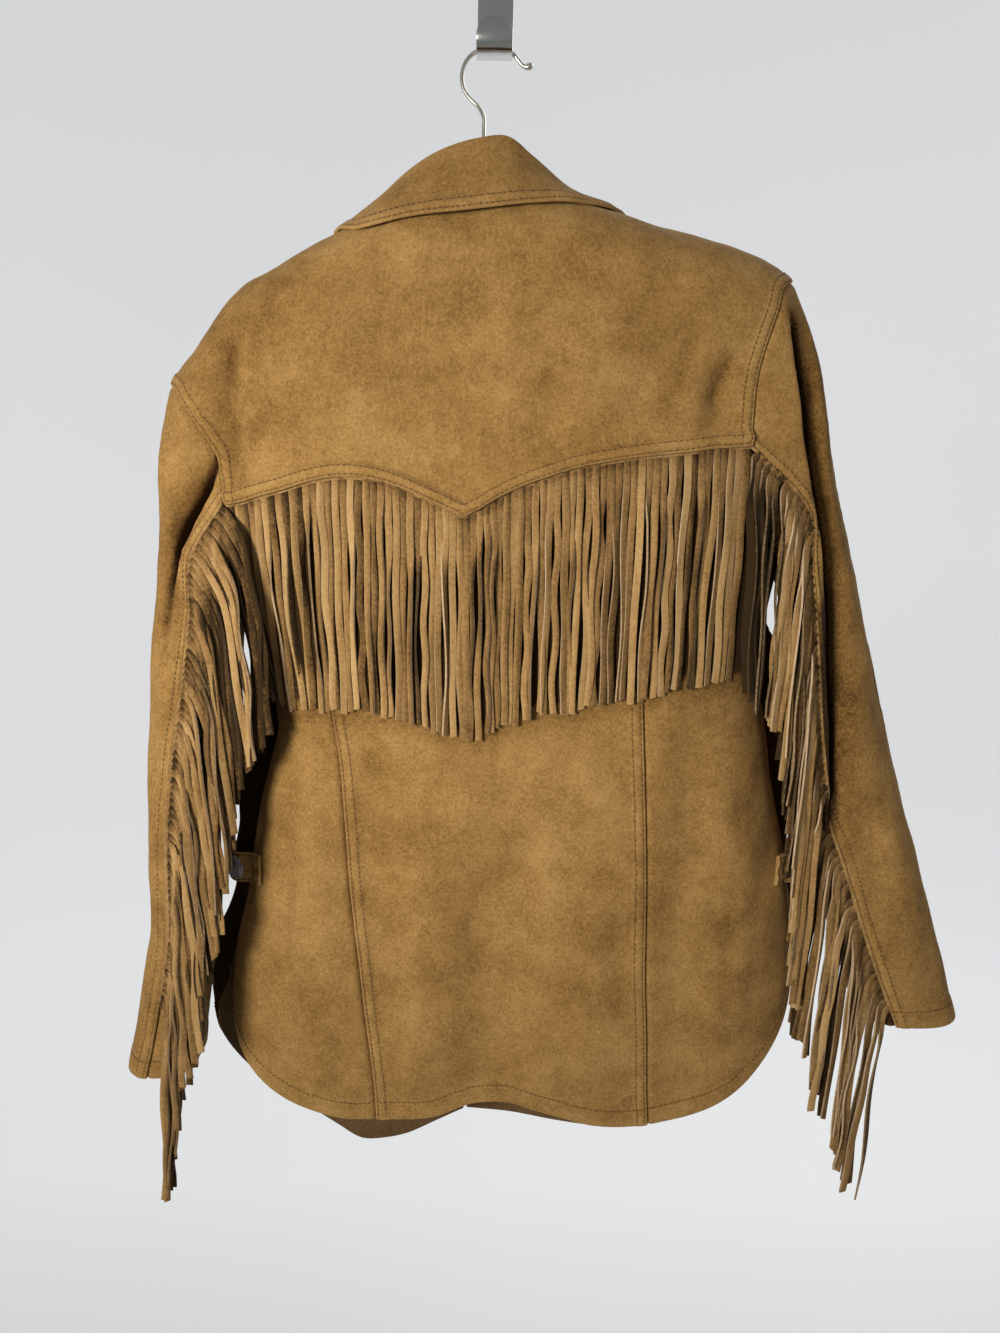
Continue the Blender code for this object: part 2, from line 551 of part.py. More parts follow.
def comb(name, stations, strands):
    """A three-sided backing strip with strands.

    stations are the strip's corners at each strand's two sides. Strands grow from its face between corners
    0 and 1, through rings in the order a's corner 0, 1, b's corner 1, 0.
    """
    points = [p for station in stations for p in station]
    count = len(stations)
    faces = [(0, 1, 2), tuple(3 * (count - 1) + k for k in (2, 1, 0))]
    for i in range(count - 1):
        a, b = 3 * i, 3 * i + 3
        faces.append((a + 1, b + 1, b + 2, a + 2))
        faces.append((a + 2, b + 2, b, a))
        if i % 2:
            faces.append((a, b, b + 1, a + 1))
            continue
        last = [a, a + 1, b + 1, b]
        for ring in strands[i // 2]:
            here = [len(points) + k for k in range(4)]
            points.extend(ring)
            for k in range(4):
                m = (k + 1) % 4
                faces.append((last[k], here[k], here[m], last[m]))
            last = here
        faces.append(tuple(last[::-1]))
    return add(name, points, consistent(points, faces))


def consistent(points, faces):
    """Turns the faces the same way round, then outward."""
    edges = {}
    for i, f in enumerate(faces):
        for a, b in zip(f, f[1:] + f[:1]):
            edges.setdefault((min(a, b), max(a, b)), []).append((i, a < b))
    turned = {0: False}
    stack = [0]
    while stack:
        i = stack.pop()
        f = faces[i]
        for a, b in zip(f, f[1:] + f[:1]):
            for j, way in edges[(min(a, b), max(a, b))]:
                if j != i and j not in turned:
                    turned[j] = turned[i] ^ (way == (a < b))
                    stack.append(j)
    fixed = [f[::-1] if turned[i] else f for i, f in enumerate(faces)]
    return oriented(points, fixed)


def inset(length, gap=GAP):
    return gap / length


def spaced(count, start, end, extra=()):
    """Places from start to end with the named ones among them."""
    named = [e for e in extra if start < e < end]
    return np.unique(np.round(np.concatenate([np.linspace(start, end, count), named]), 6))


def down(grid):
    return np.broadcast_to(np.array([0.0, -1.0, 0.0]), grid.shape)


def doorward(grid):
    return np.broadcast_to(np.array([0.0, 1.0, 0.0]), grid.shape)


# ---------------------------------------------------------------- back
SHOULDER_L = [TIP_L] + [r for r in RIDGE if TIP_L[0] < r[0] < NECK_L[0]] + [NECK_L]
SHOULDER_R = [NECK_R] + [r for r in RIDGE if NECK_R[0] < r[0] < TIP_R[0]] + [TIP_R]
YOKE_NECK_L, YOKE_V, YOKE_NECK_R = 0.37, 0.468, 0.63  # places along the yoke: the neck's ends and the point
YOKE_TOP = joined3(SHOULDER_L, NECK_BACK, SHOULDER_R, YOKE_NECK_L, YOKE_NECK_R)
YOKE_EDGE = joined(YOKE_SWEEP_L, YOKE_SWEEP_R, YOKE_V)


def yoke_lap(s, t, p):
    """The yoke's edge stands off the panels below it, over the fringe's strip."""
    above = p[..., 2] - YOKE_EDGE(s)[..., 1]
    return LAP * smoothstep((LAP_FROM - above) / (LAP_FROM - LAP_FULL))


yoke = patch(YOKE_TOP, YOKE_EDGE, curve(ARM_BACK_L), curve(ARM_BACK_R))
# Close rows where the cloth turns over the shoulders, and where the lap begins.
YOKE_T = [0.00002, 0.004, 0.018, 0.045, 0.095, 0.17, 0.3, 0.46, 0.64, 0.82, 0.9, 0.935, 0.975, 1.0]
yoke_in = inset(420, 0.6)
yoke_s = spaced(19, yoke_in, 1 - yoke_in, [YOKE_NECK_L, YOKE_V, YOKE_NECK_R])
wall("back_yoke", yoke, yoke_s, np.array(YOKE_T), out=yoke_lap, facing=down)

UNDER = 6.0  # the panels reach up this far under the yoke's edge


def raised(points, by):
    """A line moved up by the same height all along."""
    return [(x, z + by) for x, z in points]


def cut(points, low, high):
    return [p for p in points if low < p[0] < high]


start_l, start_v, start_r = (raised([p], UNDER) for p in (PRINCESS_L[0], V_POINT, PRINCESS_R[0]))
TOP_L = [(YOKE_L[0] + 0.1, YOKE_L[1])] + raised(cut(YOKE_SWEEP_L, -200, -131), UNDER) + start_l
TOP_CA = start_l + raised(cut(YOKE_SWEEP_L, -125, -20), UNDER) + start_v
TOP_CB = start_v + raised(cut(YOKE_SWEEP_R, -10, 120), UNDER) + start_r
TOP_R = start_r + raised(cut(YOKE_SWEEP_R, 135, 195), UNDER) + [YOKE_R]
PR_L = [TOP_CA[0]] + PRINCESS_L[1:]
PR_R = [TOP_CB[-1]] + PRINCESS_R[1:]
V_C = 0.445  # the yoke's point along the centre panel's top
centre = patch(joined(TOP_CA, TOP_CB, V_C), curve(HEM_BACK_C), curve(PR_L), curve(PR_R))
centre_in = inset(250)
across = spaced(11, centre_in, 1 - centre_in, [V_C])
wall("back_panel_centre", centre, across, spaced(17, 0.0, 1.0), facing=down)


PIT_BACK, PIT_FRONT = 0.24, 0.34  # the armpit's place down the side panels and down the fronts


def side_down(arm, pit, side, at=PIT_BACK):
    """The edge of a side panel: the armhole's lower part, then the side seam."""
    low = curve(arm)
    z0, z1 = pit[1], side[1]
    sign = -1 if pit[0] < 0 else 1

    def edge(s):
        s = np.asarray(s, float)
        z = z0 + (z1 - z0) * np.clip((s - at) / (1 - at), 0, 1)
        middle, half = sides(z)
        seam_line = np.stack([middle + sign * half, z], -1)
        return np.where((s <= at)[..., None], low(np.clip(s / at, 0, 1)), seam_line)

    return edge


left = patch(curve(TOP_L), curve(HEM_BACK_L), side_down(ARM_LOW_L, PIT_L, SIDE_L), curve(PR_L))
SIDE_T = spaced(15, 0.003, 1.0, [PIT_BACK])
wall("back_panel_left", left, spaced(8, inset(90, 0.5), 1 - inset(90)), SIDE_T, facing=down)
right = patch(curve(TOP_R), curve(HEM_BACK_R), curve(PR_R), side_down(ARM_LOW_R, PIT_R, SIDE_R))
wall("back_panel_right", right, spaced(9, inset(120), 1 - inset(120, 0.5)), SIDE_T, facing=down)

# ---------------------------------------------------------------- fronts
NECK_S = 0.55  # the neck's place along the fronts' tops, from the shoulder's tip
CF_L = curve([NECK_FRONT_L[-1], (CLOSE_L, -600), HEM_FRONT_L[-1]])
CF_R = curve([NECK_FRONT_R[0], (CLOSE_R, -600), HEM_FRONT_R[0]])
SIDE_DOWN_L = side_down(ARM_FRONT_L, PIT_L, SIDE_L, PIT_FRONT)
SIDE_DOWN_R = side_down(ARM_FRONT_R, PIT_R, SIDE_R, PIT_FRONT)
front_l = patch(joined(SHOULDER_L, NECK_FRONT_L, NECK_S), curve(HEM_FRONT_L), SIDE_DOWN_L, CF_L, front=True)
front_top_r = joined(NECK_FRONT_R, SHOULDER_R, 1 - NECK_S)
front_r = patch(front_top_r, curve(HEM_FRONT_R), CF_R, SIDE_DOWN_R, front=True)
FRONT_S = [0.05, 0.11, 0.2, 0.32, 0.44, NECK_S, 0.64, 0.76, 0.88, 1.0]  # from the side seam to the middle
FRONT_T = [
    0.00001, 0.003, 0.012, 0.03, 0.06, 0.1, 0.16, 0.24, 0.3, PIT_FRONT, 0.43, 0.52, 0.61, 0.7, 0.79, 0.87,
    0.94, 1.0,
]
wall("front_left", front_l, np.array([inset(220, 0.8)] + FRONT_S), np.array(FRONT_T), facing=doorward)
across = 1 - np.array([inset(260, 0.8)] + FRONT_S)[::-1]
wall("front_right", front_r, across, np.array(FRONT_T), facing=doorward)
PLACKET_TOP, PLACKET_BOTTOM, PLACKET_W = -293.0, -1030.0, 34.0
PLACKET_OFF = LIFT + 0.6


def placket_surface(s, t):
    z = PLACKET_TOP + (PLACKET_BOTTOM - PLACKET_TOP) * t
    x = CENTRE_X + (s - 0.5) * PLACKET_W
    q = to_w(np.stack([x, z], -1))
    return body(q[..., 0], z, True)


across, down_it = np.linspace(0, 1, 3), np.linspace(0, 1, 17)
wall("front_placket", placket_surface, across, down_it, out=PLACKET_OFF, facing=doorward)
BUTTON_R = 7.5
BUTTON_Z = (-345, -465, -585, -705, -825, -945)
BUTTON_PROFILE = [(BUTTON_R - 1.0, 0.0), (BUTTON_R, 1.4), (BUTTON_R - 1.6, 2.6)]  # radius, height


def lathe(name, centre_point, axis, profile, sides_count, star=0.0):
    """A turned piece: profile rows are radius, height along the axis; star makes its rim jagged."""
    axis = np.array(axis, float) / np.linalg.norm(axis)
    u = np.cross(axis, (0, 0, 1.0))
    u /= np.linalg.norm(u)
    v = np.cross(axis, u)
    rings = []
    for radius, height in profile:
        ring = []
        for k in range(sides_count):
            r = radius * (1 + (star if k % 2 else -star))
            angle = 2 * math.pi * k / sides_count
            across = math.cos(angle) * u + math.sin(angle) * v
            ring.append(np.array(centre_point) + axis * height + r * across)
        rings.append(ring)
    return rings_mesh(name, rings)


for k, z in enumerate(BUTTON_Z):
    down_it = (z - PLACKET_TOP) / (PLACKET_BOTTOM - PLACKET_TOP)
    y = float(placket_surface(np.array([0.5]), np.array([down_it]))[0, 1])
    seat = (CENTRE_X, y + PLACKET_OFF + WALL / 2 + GAP, z)
    lathe(f"front_button_{k + 1}", seat, (0, 1, 0), BUTTON_PROFILE, 10)

# ---------------------------------------------------------------- sleeves and their fringe
LOOP_L = armhole_loop(ARM_BACK_L, ARM_LOW_L, ARM_FRONT_L)
LOOP_R = armhole_loop(ARM_BACK_R, ARM_LOW_R, ARM_FRONT_R)
SLEEVE_T = spaced(16, 0.0014, 1.0)
UNDER_S = [0, 0.16, 0.3, 0.4, 0.47, 0.52, 0.57, 0.66, 0.8, 1.0]


def sleeve_panels(side, loop, rings, creases, seam_rows, outward):
    surface, knots = sleeve(loop, rings, creases, outward)
    seam = seam_a(knots, seam_rows)
    slit = 0.5 / 260

    def outer(s, t):
        first = SEAM_A_FRONT - 1 + slit
        return surface(t, first + (seam(t) - slit - first) * s)

    def under(s, t):
        first = seam(t) + slit
        return surface(t, first + (SEAM_A_FRONT - slit - first) * s)

    round_it = np.linspace(0, 1, 41)[:-1, None]
    down_it = np.broadcast_to(SLEEVE_T[None, :], (40, len(SLEEVE_T)))
    axis = surface(down_it, round_it).mean(axis=0, keepdims=True)

    def away(grid):
        return grid - axis

    wall(f"sleeve_{side}_outer", outer, np.linspace(0, 1, 12), SLEEVE_T, facing=away)
    wall(f"sleeve_{side}_under", under, np.array(UNDER_S), SLEEVE_T, facing=away)
    return surface, seam


sleeve_l, seam_l = sleeve_panels("left", LOOP_L, RINGS_L, FOLDS_SLEEVE_L, SEAM_A_L, -1)
sleeve_r, seam_r = sleeve_panels("right", LOOP_R, RINGS_R, FOLDS_SLEEVE_R, SEAM_A_R, 1)

rng = np.random.default_rng(7)


def wander(count, reach, rows):
    """A slow wave along a row of strands, so that neighbours lean alike."""
    return np.interp(np.linspace(0, 1, count), np.linspace(0, 1, rows), rng.uniform(-reach, reach, rows))


def lengths(line):
    """The distance along a line at each of its points."""
    return np.concatenate([[0], np.cumsum(np.linalg.norm(np.diff(line, axis=0), axis=1))])


def pick(at, run, table):
    """A row of a table of points or directions at a distance along its line."""
    return np.array([np.interp(at, run, table[:, m]) for m in range(3)])


def strand_ring(middle, edge, cross):
    """The four corners of a strand's section, in the order that a comb's strands take."""
    return [middle + edge - cross, middle + edge + cross, middle - edge + cross, middle - edge - cross]


def back_fringe():
    """Strands that hang side by side over the back from the yoke's edge."""
    count = STRANDS_BACK
    line = YOKE_EDGE(np.linspace(0, 1, 2001))
    q = to_w(line)
    on = body(q[:, 0], q[:, 1])
    lean_out = across_body(q, False)
    run = lengths(on)
    margin = 1.0  # left free at each end of the edge
    pitch = (run[-1] - 2 * margin) / count
    sway, lean = wander(count, 2.2, 9), wander(count, 1.5, 12)
    long = wander(count, 3.0, 14)
    inner, outer = STRIP_OFF_BACK, STRIP_OFF_BACK + STRIP
    stations, strands = [], []
    for k in range(count):
        middle = margin + pitch * (k + 0.5)
        quad = []
        for side in (-1, 1):
            here = pick(middle + side * STRAND_W / 2, run, on)
            out = pick(middle + side * STRAND_W / 2, run, lean_out)
            low, high = here + np.array([0, 0, -1.5]), here + np.array([0, 0, 4.0])
            quad.append([low + out * inner, low + out * outer, high + out * (inner + outer) / 2])
        stations.extend(quad)
        x, y, z = (quad[0][0] + quad[0][1] + quad[1][0] + quad[1][1]) / 4
        # The outer strands are drawn in by the sleeves' fringe, and those at the yoke's point end higher.
        drawn = 20 * math.exp(-(x - YOKE_L[0]) / 130) - 18 * math.exp(-(YOKE_R[0] - x) / 130)
        whole = STRAND_LONG + long[k] - 7 * math.exp(-((x - V_POINT[0]) / 30) ** 2)
        rings = []
        for share, swing in ((0.2, 0.0), (1.0, lean[k])):
            mid = np.array([x + (drawn + sway[k]) * share, y - 1.0 + swing, z - whole * share])
            mid = clear_of_body(mid[None], 4.6 - share)[0]
            half_w, half_t = STRAND_W / 2 - 0.1 * share, STRIP / 2 * 0.9
            rings.append(strand_ring(mid, np.array([-half_w, 0, 0]), np.array([0, -half_t, 0])))
        strands.append(rings)
    comb("fringe_back", stations, strands)


back_fringe()

# The height of a strand's root and the x at which the strand hangs, always nearer the body than its root.
HANG_L = [(-882, -266), (-747, -236), (-604, -213), (-511, -195), (-464, -172)]
HANG_R = [
    (-882, 338), (-837, 322), (-806, 311), (-776, 302), (-745, 293), (-714, 285), (-683, 279), (-650, 274),
    (-618, 270), (-555, 265), (-491, 259), (-460, 254), (-433, 236), (-412, 206),
]
LAYER = 5.6  # neighbouring strands hang this much further out in turn, so that they never cross
LAYERS_L, LAYERS_R = 2, 3
# The rings of a sleeve's strand: out as a share of its reach, height below its root, share of the way to the
# line where it hangs, and the edge's turn from up the seam to straight out.
BEND = [
    # out, down, way, turn
    (0.9, 2.4, 0.1, 1.0),
    (1.0, 26.0, 1.0, 1.0),
    (1.04, STRAND_LONG, 1.0, 1.0),
]


def sleeve_fringe(name, surface, seam, count, hang, layers, t0, t1):
    """Strands that leave the sleeve's seam edge on, turn down and hang side by side."""
    ts = np.linspace(t0, t1, 3000)
    on = surface(ts, seam(ts))
    across = unit(surface(ts, seam(ts) + 1e-3) - surface(ts, seam(ts) - 1e-3))
    n = unit(np.cross(np.gradient(on, axis=0), across))
    n[n[:, 1] > 0] *= -1
    run = lengths(on)
    pitch = run[-1] / count
    width = min(STRAND_W + 0.5, pitch - 0.9)
    half_strip = 1.2
    inner, outer = STRIP_OFF_SLEEVE, STRIP_OFF_SLEEVE + STRIP
    hang = np.array(hang, float)
    long = wander(count, 5.0, 16)
    stations, strands = [], []
    for k in range(count):
        middle = pitch * (k + 0.5)
        quad = []
        for side in (-1, 1):
            d = middle + side * width / 2
            here, up, over = pick(d, run, on), pick(d, run, n), pick(d, run, across)
            face, half = here + up * outer, over * half_strip
            quad.append([face - half, face + half, here + up * inner])
        stations.extend(quad)
        root = (quad[0][0] + quad[0][1] + quad[1][1] + quad[1][0]) / 4
        up_seam = unit(quad[0][0] + quad[0][1] - quad[1][0] - quad[1][1])
        side_x = 1.0 if pick(middle, run, across)[0] > 0 else -1.0
        x_hang = np.interp(root[2], hang[:, 0], hang[:, 1])
        # The first strands stand off more, round the head of the sleeve.
        reach = 6.6 + 6.0 * math.exp(-k / 9) + LAYER * (k % layers)
        half_w, half_t = width / 2 - 0.25, STRAND_T / 2
        rings = []
        for out, low, share, turn in BEND:
            low += long[k] * (low == STRAND_LONG)
            mid = root + np.array([(x_hang - root[0]) * share, -reach * out, -low])
            angle = turn * math.pi / 2
            edge = unit(up_seam * math.cos(angle) + np.array([0, -1.0, 0]) * math.sin(angle))
            rings.append(strand_ring(mid, edge * half_w, np.array([side_x * half_t, 0, 0])))
        strands.append(rings)
    comb(name, stations, strands)


sleeve_fringe("fringe_sleeve_left", sleeve_l, seam_l, STRANDS_LEFT, HANG_L, LAYERS_L, 0.02, 0.863)
sleeve_fringe("fringe_sleeve_right", sleeve_r, seam_r, STRANDS_RIGHT, HANG_R, LAYERS_R, 0.02, 0.97)


# ---------------------------------------------------------------- collar
_collar = np.array(COLLAR, float)


EDGE_OFF = 2.3  # the free edge over the body's middle surface
FALL_OFF = COLLAR_T / 2 + WALL / 2 + GAP + 1.2


def collar_lines():
    """The collar's roll and free edge as tables of points, with the edge's y worked out on the body."""
    part = _collar[:, 1]
    edge = _collar[:, 7:9]
    guess = np.stack([edge[:, 0], SEAM_Y + part, edge[:, 1]], -1)
    edge = clear_of_body(guess, EDGE_OFF)
    edge[:, 1] += part * _collar[:, 9]
    edge[part == 0, 1] = SEAM_Y
    return _collar[:, 4:7], edge


_roll, _edge = collar_lines()


def neck_line(s):
    """The stand's lower edge: just inside the neck's own edge, on the body before and behind."""
    at = hermite(_collar[:, 0], _collar[:, 2:4], s)
    inward = NECK_IN * smoothstep(np.abs(at[..., 0] - CENTRE_X) / 60) * np.sign(at[..., 0] - CENTRE_X)
    q = to_w(at)
    before = (s < NECK_AT[0]) | (s > NECK_AT[1])
    y = np.where(before, body(q[..., 0], q[..., 1], True)[..., 1], body(q[..., 0], q[..., 1])[..., 1])
    return np.stack([at[..., 0] - inward, y, at[..., 1] + WALL + 0.4], -1)


def collar_stand(s, t):
    """From the neck's edge up to just inside the roll, drawn in at the sides of the neck."""
    a, b = neck_line(s), hermite(_collar[:, 0], _roll, s)
    side = np.abs(s - 0.5)
    inward = 8.0 * smoothstep((side - 0.13) / 0.08) * smoothstep((0.5 - side) / 0.12)
    to_middle = CENTRE_X - b[..., 0]
    x_by, y_by = to_middle * 0.035 + inward * np.sign(to_middle), (SEAM_Y - b[..., 1]) * 0.09
    b = b + np.stack([x_by, y_by, np.full_like(s, -4.2)], -1)
    b[..., 2] = np.maximum(b[..., 2], a[..., 2] + 2.2)
    return a + (b - a) * t[..., None]


def collar_fall(s, t):
    """Over the roll, then down to the free edge in a shallow bow, clear of the shoulders."""
    b, c = hermite(_collar[:, 0], _roll, s), hermite(_collar[:, 0], _edge, s)
    t1 = t[..., None]
    flat = c - b
    out = unit(flat * np.array([1.0, 1.0, 0.0]))
    p = b + flat * t1 + out * 2.5 * np.sin(math.pi * t1)
    return clear_of_body(p, FALL_OFF)


wall("collar_stand", collar_stand, spaced(25, 0.004, 0.996), np.array([0, 1]), thick=STAND_T, facing=down)
at_ridge = [at + by for at in NECK_AT for by in (-0.015, 0.0, 0.015)]
across = spaced(27, 0.0, 1.0, at_ridge)
wall("collar_fall", collar_fall, across, np.array(FALL_ROWS), thick=COLLAR_T, facing=down)

# ---------------------------------------------------------------- waist tabs
TAB_H = 27.0


def tab_surface(sign, z_mid, x_in, stand):
    """A strap from the back panel round the side, standing off the side seam like a flat handle."""
    middle, half = sides(np.array(z_mid))
    edge = float(middle + sign * half)

    def surface(s, t):
        z = z_mid + (0.5 - t) * TAB_H
        rows = [
            (x_in, None, -4.0), (edge - sign * 5, None, -5.5), (edge + sign * stand * 0.6, -60, 0),
            (edge + sign * stand, -47, 0), (edge + sign * stand * 0.85, -28, 0), (edge + sign * 4, -8, 0),
            (edge - sign * 14, None, 7.0),
        ]
        path = []
        for k, (x, y, lift) in enumerate(rows):
            if y is None:
                q = to_w(np.array([[x, z_mid]]))
                y = float(body(q[:, 0], q[:, 1], k > 3)[0, 1]) + lift
            path.append((x, y))
        xy = curve(path)(s)
        return np.stack([xy[..., 0], xy[..., 1], z], -1)

    return surface


def outward_from(x, y):
    return lambda grid: grid - np.array([x, y, 0.0]) * np.array([1, 1, 0]) - grid * np.array([0, 0, 1])


TABS = [
    # side, sign, middle height, x at the back end, how far it stands off the side seam
    ("left", -1, -771.5, -190.0, 19.0), ("right", 1, -760.0, 262.0, 10.0),
]
BUTTON_S = (0.33, 0.36, 0.39)  # the tab button's place along the tab, and a little to each side
TAB_BUTTON = [(8.0, 0.0), (10.4, 1.4), (7.6, 3.2)]  # radius, height
for side, sign, z_mid, x_in, stand in TABS:
    tab = tab_surface(sign, z_mid, x_in, stand)
    outward = outward_from(sign * 150, -40)
    wall(f"tab_{side}", tab, np.linspace(0, 1, 13), np.linspace(0, 1, 3), facing=outward)
    spot = tab(np.array(BUTTON_S), np.full(3, 0.5))
    face = unit(np.cross(spot[2] - spot[0], (0, 0, 1.0)))
    face *= 1 if face[0] * sign > 0 or face[1] < 0 else -1
    lathe(f"tab_button_{side}", spot[1] + face * (WALL / 2 + GAP), face, TAB_BUTTON, 20, star=0.045)

# ---------------------------------------------------------------- hanger
BAR_Y, BAR_LEFT, BAR_RIGHT = -40.0, -206.0, 203.0
BAR_H, BAR_HALF = 24.0, 5.6  # the bar's height and half its thickness at the middle
# The bar's section, from its middle: across and down, as shares of the half thickness and the height.
BAR_SECTION = [
    (-1, 0.28), (-0.55, 0.0), (0.55, 0.0), (1, 0.28), (1, 0.8), (0.55, 1.0), (-0.55, 1.0), (-1, 0.8),
]


def hanger_bar():
    """A shaped wooden bar just under the shoulders, thinner toward its ends."""
    rings = []
    places = [*np.linspace(BAR_LEFT, -90, 7), -50, -14, 8, 45, *np.linspace(74, BAR_RIGHT, 7)]
    for x in places:
        top = ridge(np.array([x]))[0] - 2.25
        share = abs(x / BAR_LEFT)
        height, half = BAR_H - 11 * share, BAR_HALF - 0.8 * share
        if x in (BAR_LEFT, BAR_RIGHT):
            height = 9
            top -= 2.5
        rings.append([(x, BAR_Y + across * half, top - below * height) for across, below in BAR_SECTION])
    rings_mesh("hanger_bar", rings)


hanger_bar()

# The hook's wire, from the bar up its shank and over the crown: x, y, z.
HOOK = [
    (-3.5, -39.5, -201.6), (-3.5, -39.2, -190), (-5, -36, -178), (-6.8, -30, -163), (-7.4, -25, -150),
    (-7.8, -20.5, -140), (-12, -17.5, -131.5), (-20, -16, -124), (-25, -15.2, -116), (-26.2, -15, -108),
    (-23.6, -15, -98), (-17.5, -15, -91), (-9.5, -15, -87), (-1.3, -15, -85.9), (7.5, -15, -87),
    (15, -15, -90.5), (20.2, -15, -96), (24.4, -15, -99.6), (28.5, -15, -99.4), (31.2, -15, -98),
]
COLLET_R, COLLET_TO = 4.6, 0.05  # the collet round the wire's foot
# The wire's radius along it: place, radius. It ends in a small bead.
HOOK_R = [(0.0, COLLET_R), (COLLET_TO, COLLET_R), (COLLET_TO + 0.0005, WIRE_R)]
HOOK_R += [(at, WIRE_R) for at in np.linspace(0.075, 0.955, 26)]
HOOK_R += [(0.968, 2.5), (0.984, 2.9), (0.995, 2.2), (1.0, 0.8)]


def wire(name, points, radius_rows, around=6):
    """A round wire along a smooth line, with its radius given along it."""
    line = curve(points)
    s = np.array([r[0] for r in radius_rows])
    p = line(s)
    d = line(np.clip(s + 0.004, 0, 1)) - line(np.clip(s - 0.004, 0, 1))
    d /= np.linalg.norm(d, axis=1, keepdims=True)
    side = np.cross(d[0], (0, 1.0, 0))
    rings = []
    for k in range(len(s)):
        side = side - d[k] * np.dot(side, d[k])
        side /= np.linalg.norm(side)
        up = np.cross(d[k], side)
        turns = [2 * math.pi * j / around for j in range(around)]
        rings.append([p[k] + radius_rows[k][1] * (math.cos(a) * side + math.sin(a) * up) for a in turns])
    return rings_mesh(name, rings)


wire("hanger_hook", HOOK, HOOK_R)

# ---------------------------------------------------------------- door hook
CROWN_Z, CROWN_Y = -85.9, -15.0  # where the wire hangs in the strap's bend
SAG = 4.9  # the wire rests on the strap's two edges, this much over the bend's lowest line
BACK_END, TAB_TOP = -30.0, -68.8
BEND_R, DOOR_PLAY = 2.0, 0.6
TAB_ROUND = 11.0


def strap_path():
    """The strap's middle line in y and z, from the door's back over the top, down it and up to the tab."""
    h = STRAP_T / 2
    y_back, y_face = DOOR_T + DOOR_PLAY + h, -h
    radius = abs(CROWN_Y) - h
    centre_z = CROWN_Z - WIRE_R - GAP - SAG - h + radius
    path = [(y_back, BACK_END), (y_back, h - BEND_R)]
    for a in (0.5, 1.05, math.pi / 2):
        path.append((y_back - BEND_R * (1 - math.cos(a)), h - BEND_R * (1 - math.sin(a))))
    path += [(1.0, h), (y_face + 0.75, h - 0.35), (y_face, h - BEND_R), (y_face, -40.0), (y_face, centre_z)]
    for a in np.linspace(0, math.pi, 13)[1:]:
        path.append((CROWN_Y + radius * math.cos(a), centre_z - radius * math.sin(a)))
    return path + [(CROWN_Y - radius, z) for z in (centre_z + 3.0, -73.0, -70.5, TAB_TOP)]


def strap(name):
    """A flat strip along the strap's line, its tab rounded off."""
    path = np.array(strap_path())
    run = lengths(path)
    d = np.gradient(path, run, axis=0)
    d /= np.linalg.norm(d, axis=1, keepdims=True)
    n = np.stack([-d[:, 1], d[:, 0]], -1)
    rings = []
    for k in range(len(path)):
        left_over = run[-1] - run[k]
        half = STRAP_W / 2
        if left_over < TAB_ROUND:
            half -= TAB_ROUND - math.sqrt(max(TAB_ROUND**2 - (TAB_ROUND - left_over) ** 2, 9.0))
        a, b = path[k] + n[k] * STRAP_T / 2, path[k] - n[k] * STRAP_T / 2
        rings.append([(-half, a[0], a[1]), (half, a[0], a[1]), (half, b[0], b[1]), (-half, b[0], b[1])])
    return rings_mesh(name, rings)


strap("door_hook")
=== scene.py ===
"""How the fringed suede jacket looks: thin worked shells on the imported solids' forms, stitching, cut fringe,
buttons, hanger, door hook, stage, light and camera. Tables are in millimetres, as in the part's own source;
x runs to the right seen from the back, y away from the viewer and z up. Meshes are made in metres.
"""
import math

import bpy
import numpy as np
from mathutils import Matrix, Vector


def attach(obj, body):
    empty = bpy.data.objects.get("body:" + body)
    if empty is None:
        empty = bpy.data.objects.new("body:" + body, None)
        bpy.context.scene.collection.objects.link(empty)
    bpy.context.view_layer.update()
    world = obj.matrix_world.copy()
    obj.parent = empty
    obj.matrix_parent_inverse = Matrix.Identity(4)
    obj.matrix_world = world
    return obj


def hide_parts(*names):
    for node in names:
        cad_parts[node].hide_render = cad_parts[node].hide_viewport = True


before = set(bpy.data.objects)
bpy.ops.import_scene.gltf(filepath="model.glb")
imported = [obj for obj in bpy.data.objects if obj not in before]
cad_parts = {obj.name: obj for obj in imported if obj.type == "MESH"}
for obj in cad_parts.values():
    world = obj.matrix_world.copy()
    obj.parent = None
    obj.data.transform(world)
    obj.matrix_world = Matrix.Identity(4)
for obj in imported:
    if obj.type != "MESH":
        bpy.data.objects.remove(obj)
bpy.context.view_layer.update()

MM = 0.001
WALL = 1.6  # the suede's thickness
GAP = 0.3  # between pieces that lie on each other
LIFT = WALL + GAP
SEAM_Y = -36.0  # the plane of the side seams
SEAM_HALF = 0.36  # half the gap between the back and the fronts there
RIDGE_R = 45.0  # the shoulders round off over this height below their ridge
BODY_N, SLEEVE_N = 2.8, 2.5  # how square the sections are: 2 is an ellipse
ARM_LIFT = 5.0  # how far the armhole's lower part stands off the body
LAP = 4.0  # how far the yoke's edge stands off
LAP_FROM, LAP_FULL = 16.0, 7.0  # above the edge, where the yoke leaves its form and where it is all off
STRAND_LONG = 183.0
STRANDS_BACK, STRANDS_LEFT, STRANDS_RIGHT = 72, 72, 78
WIRE_R = 1.65
STRAP_W, STRAP_T = 29.0, 2.0
DOOR_T = 18.0
COLLAR_T = 1.8
UNDER = 6.0  # how far the back's panels go up under the yoke
TAB_H = 27.0

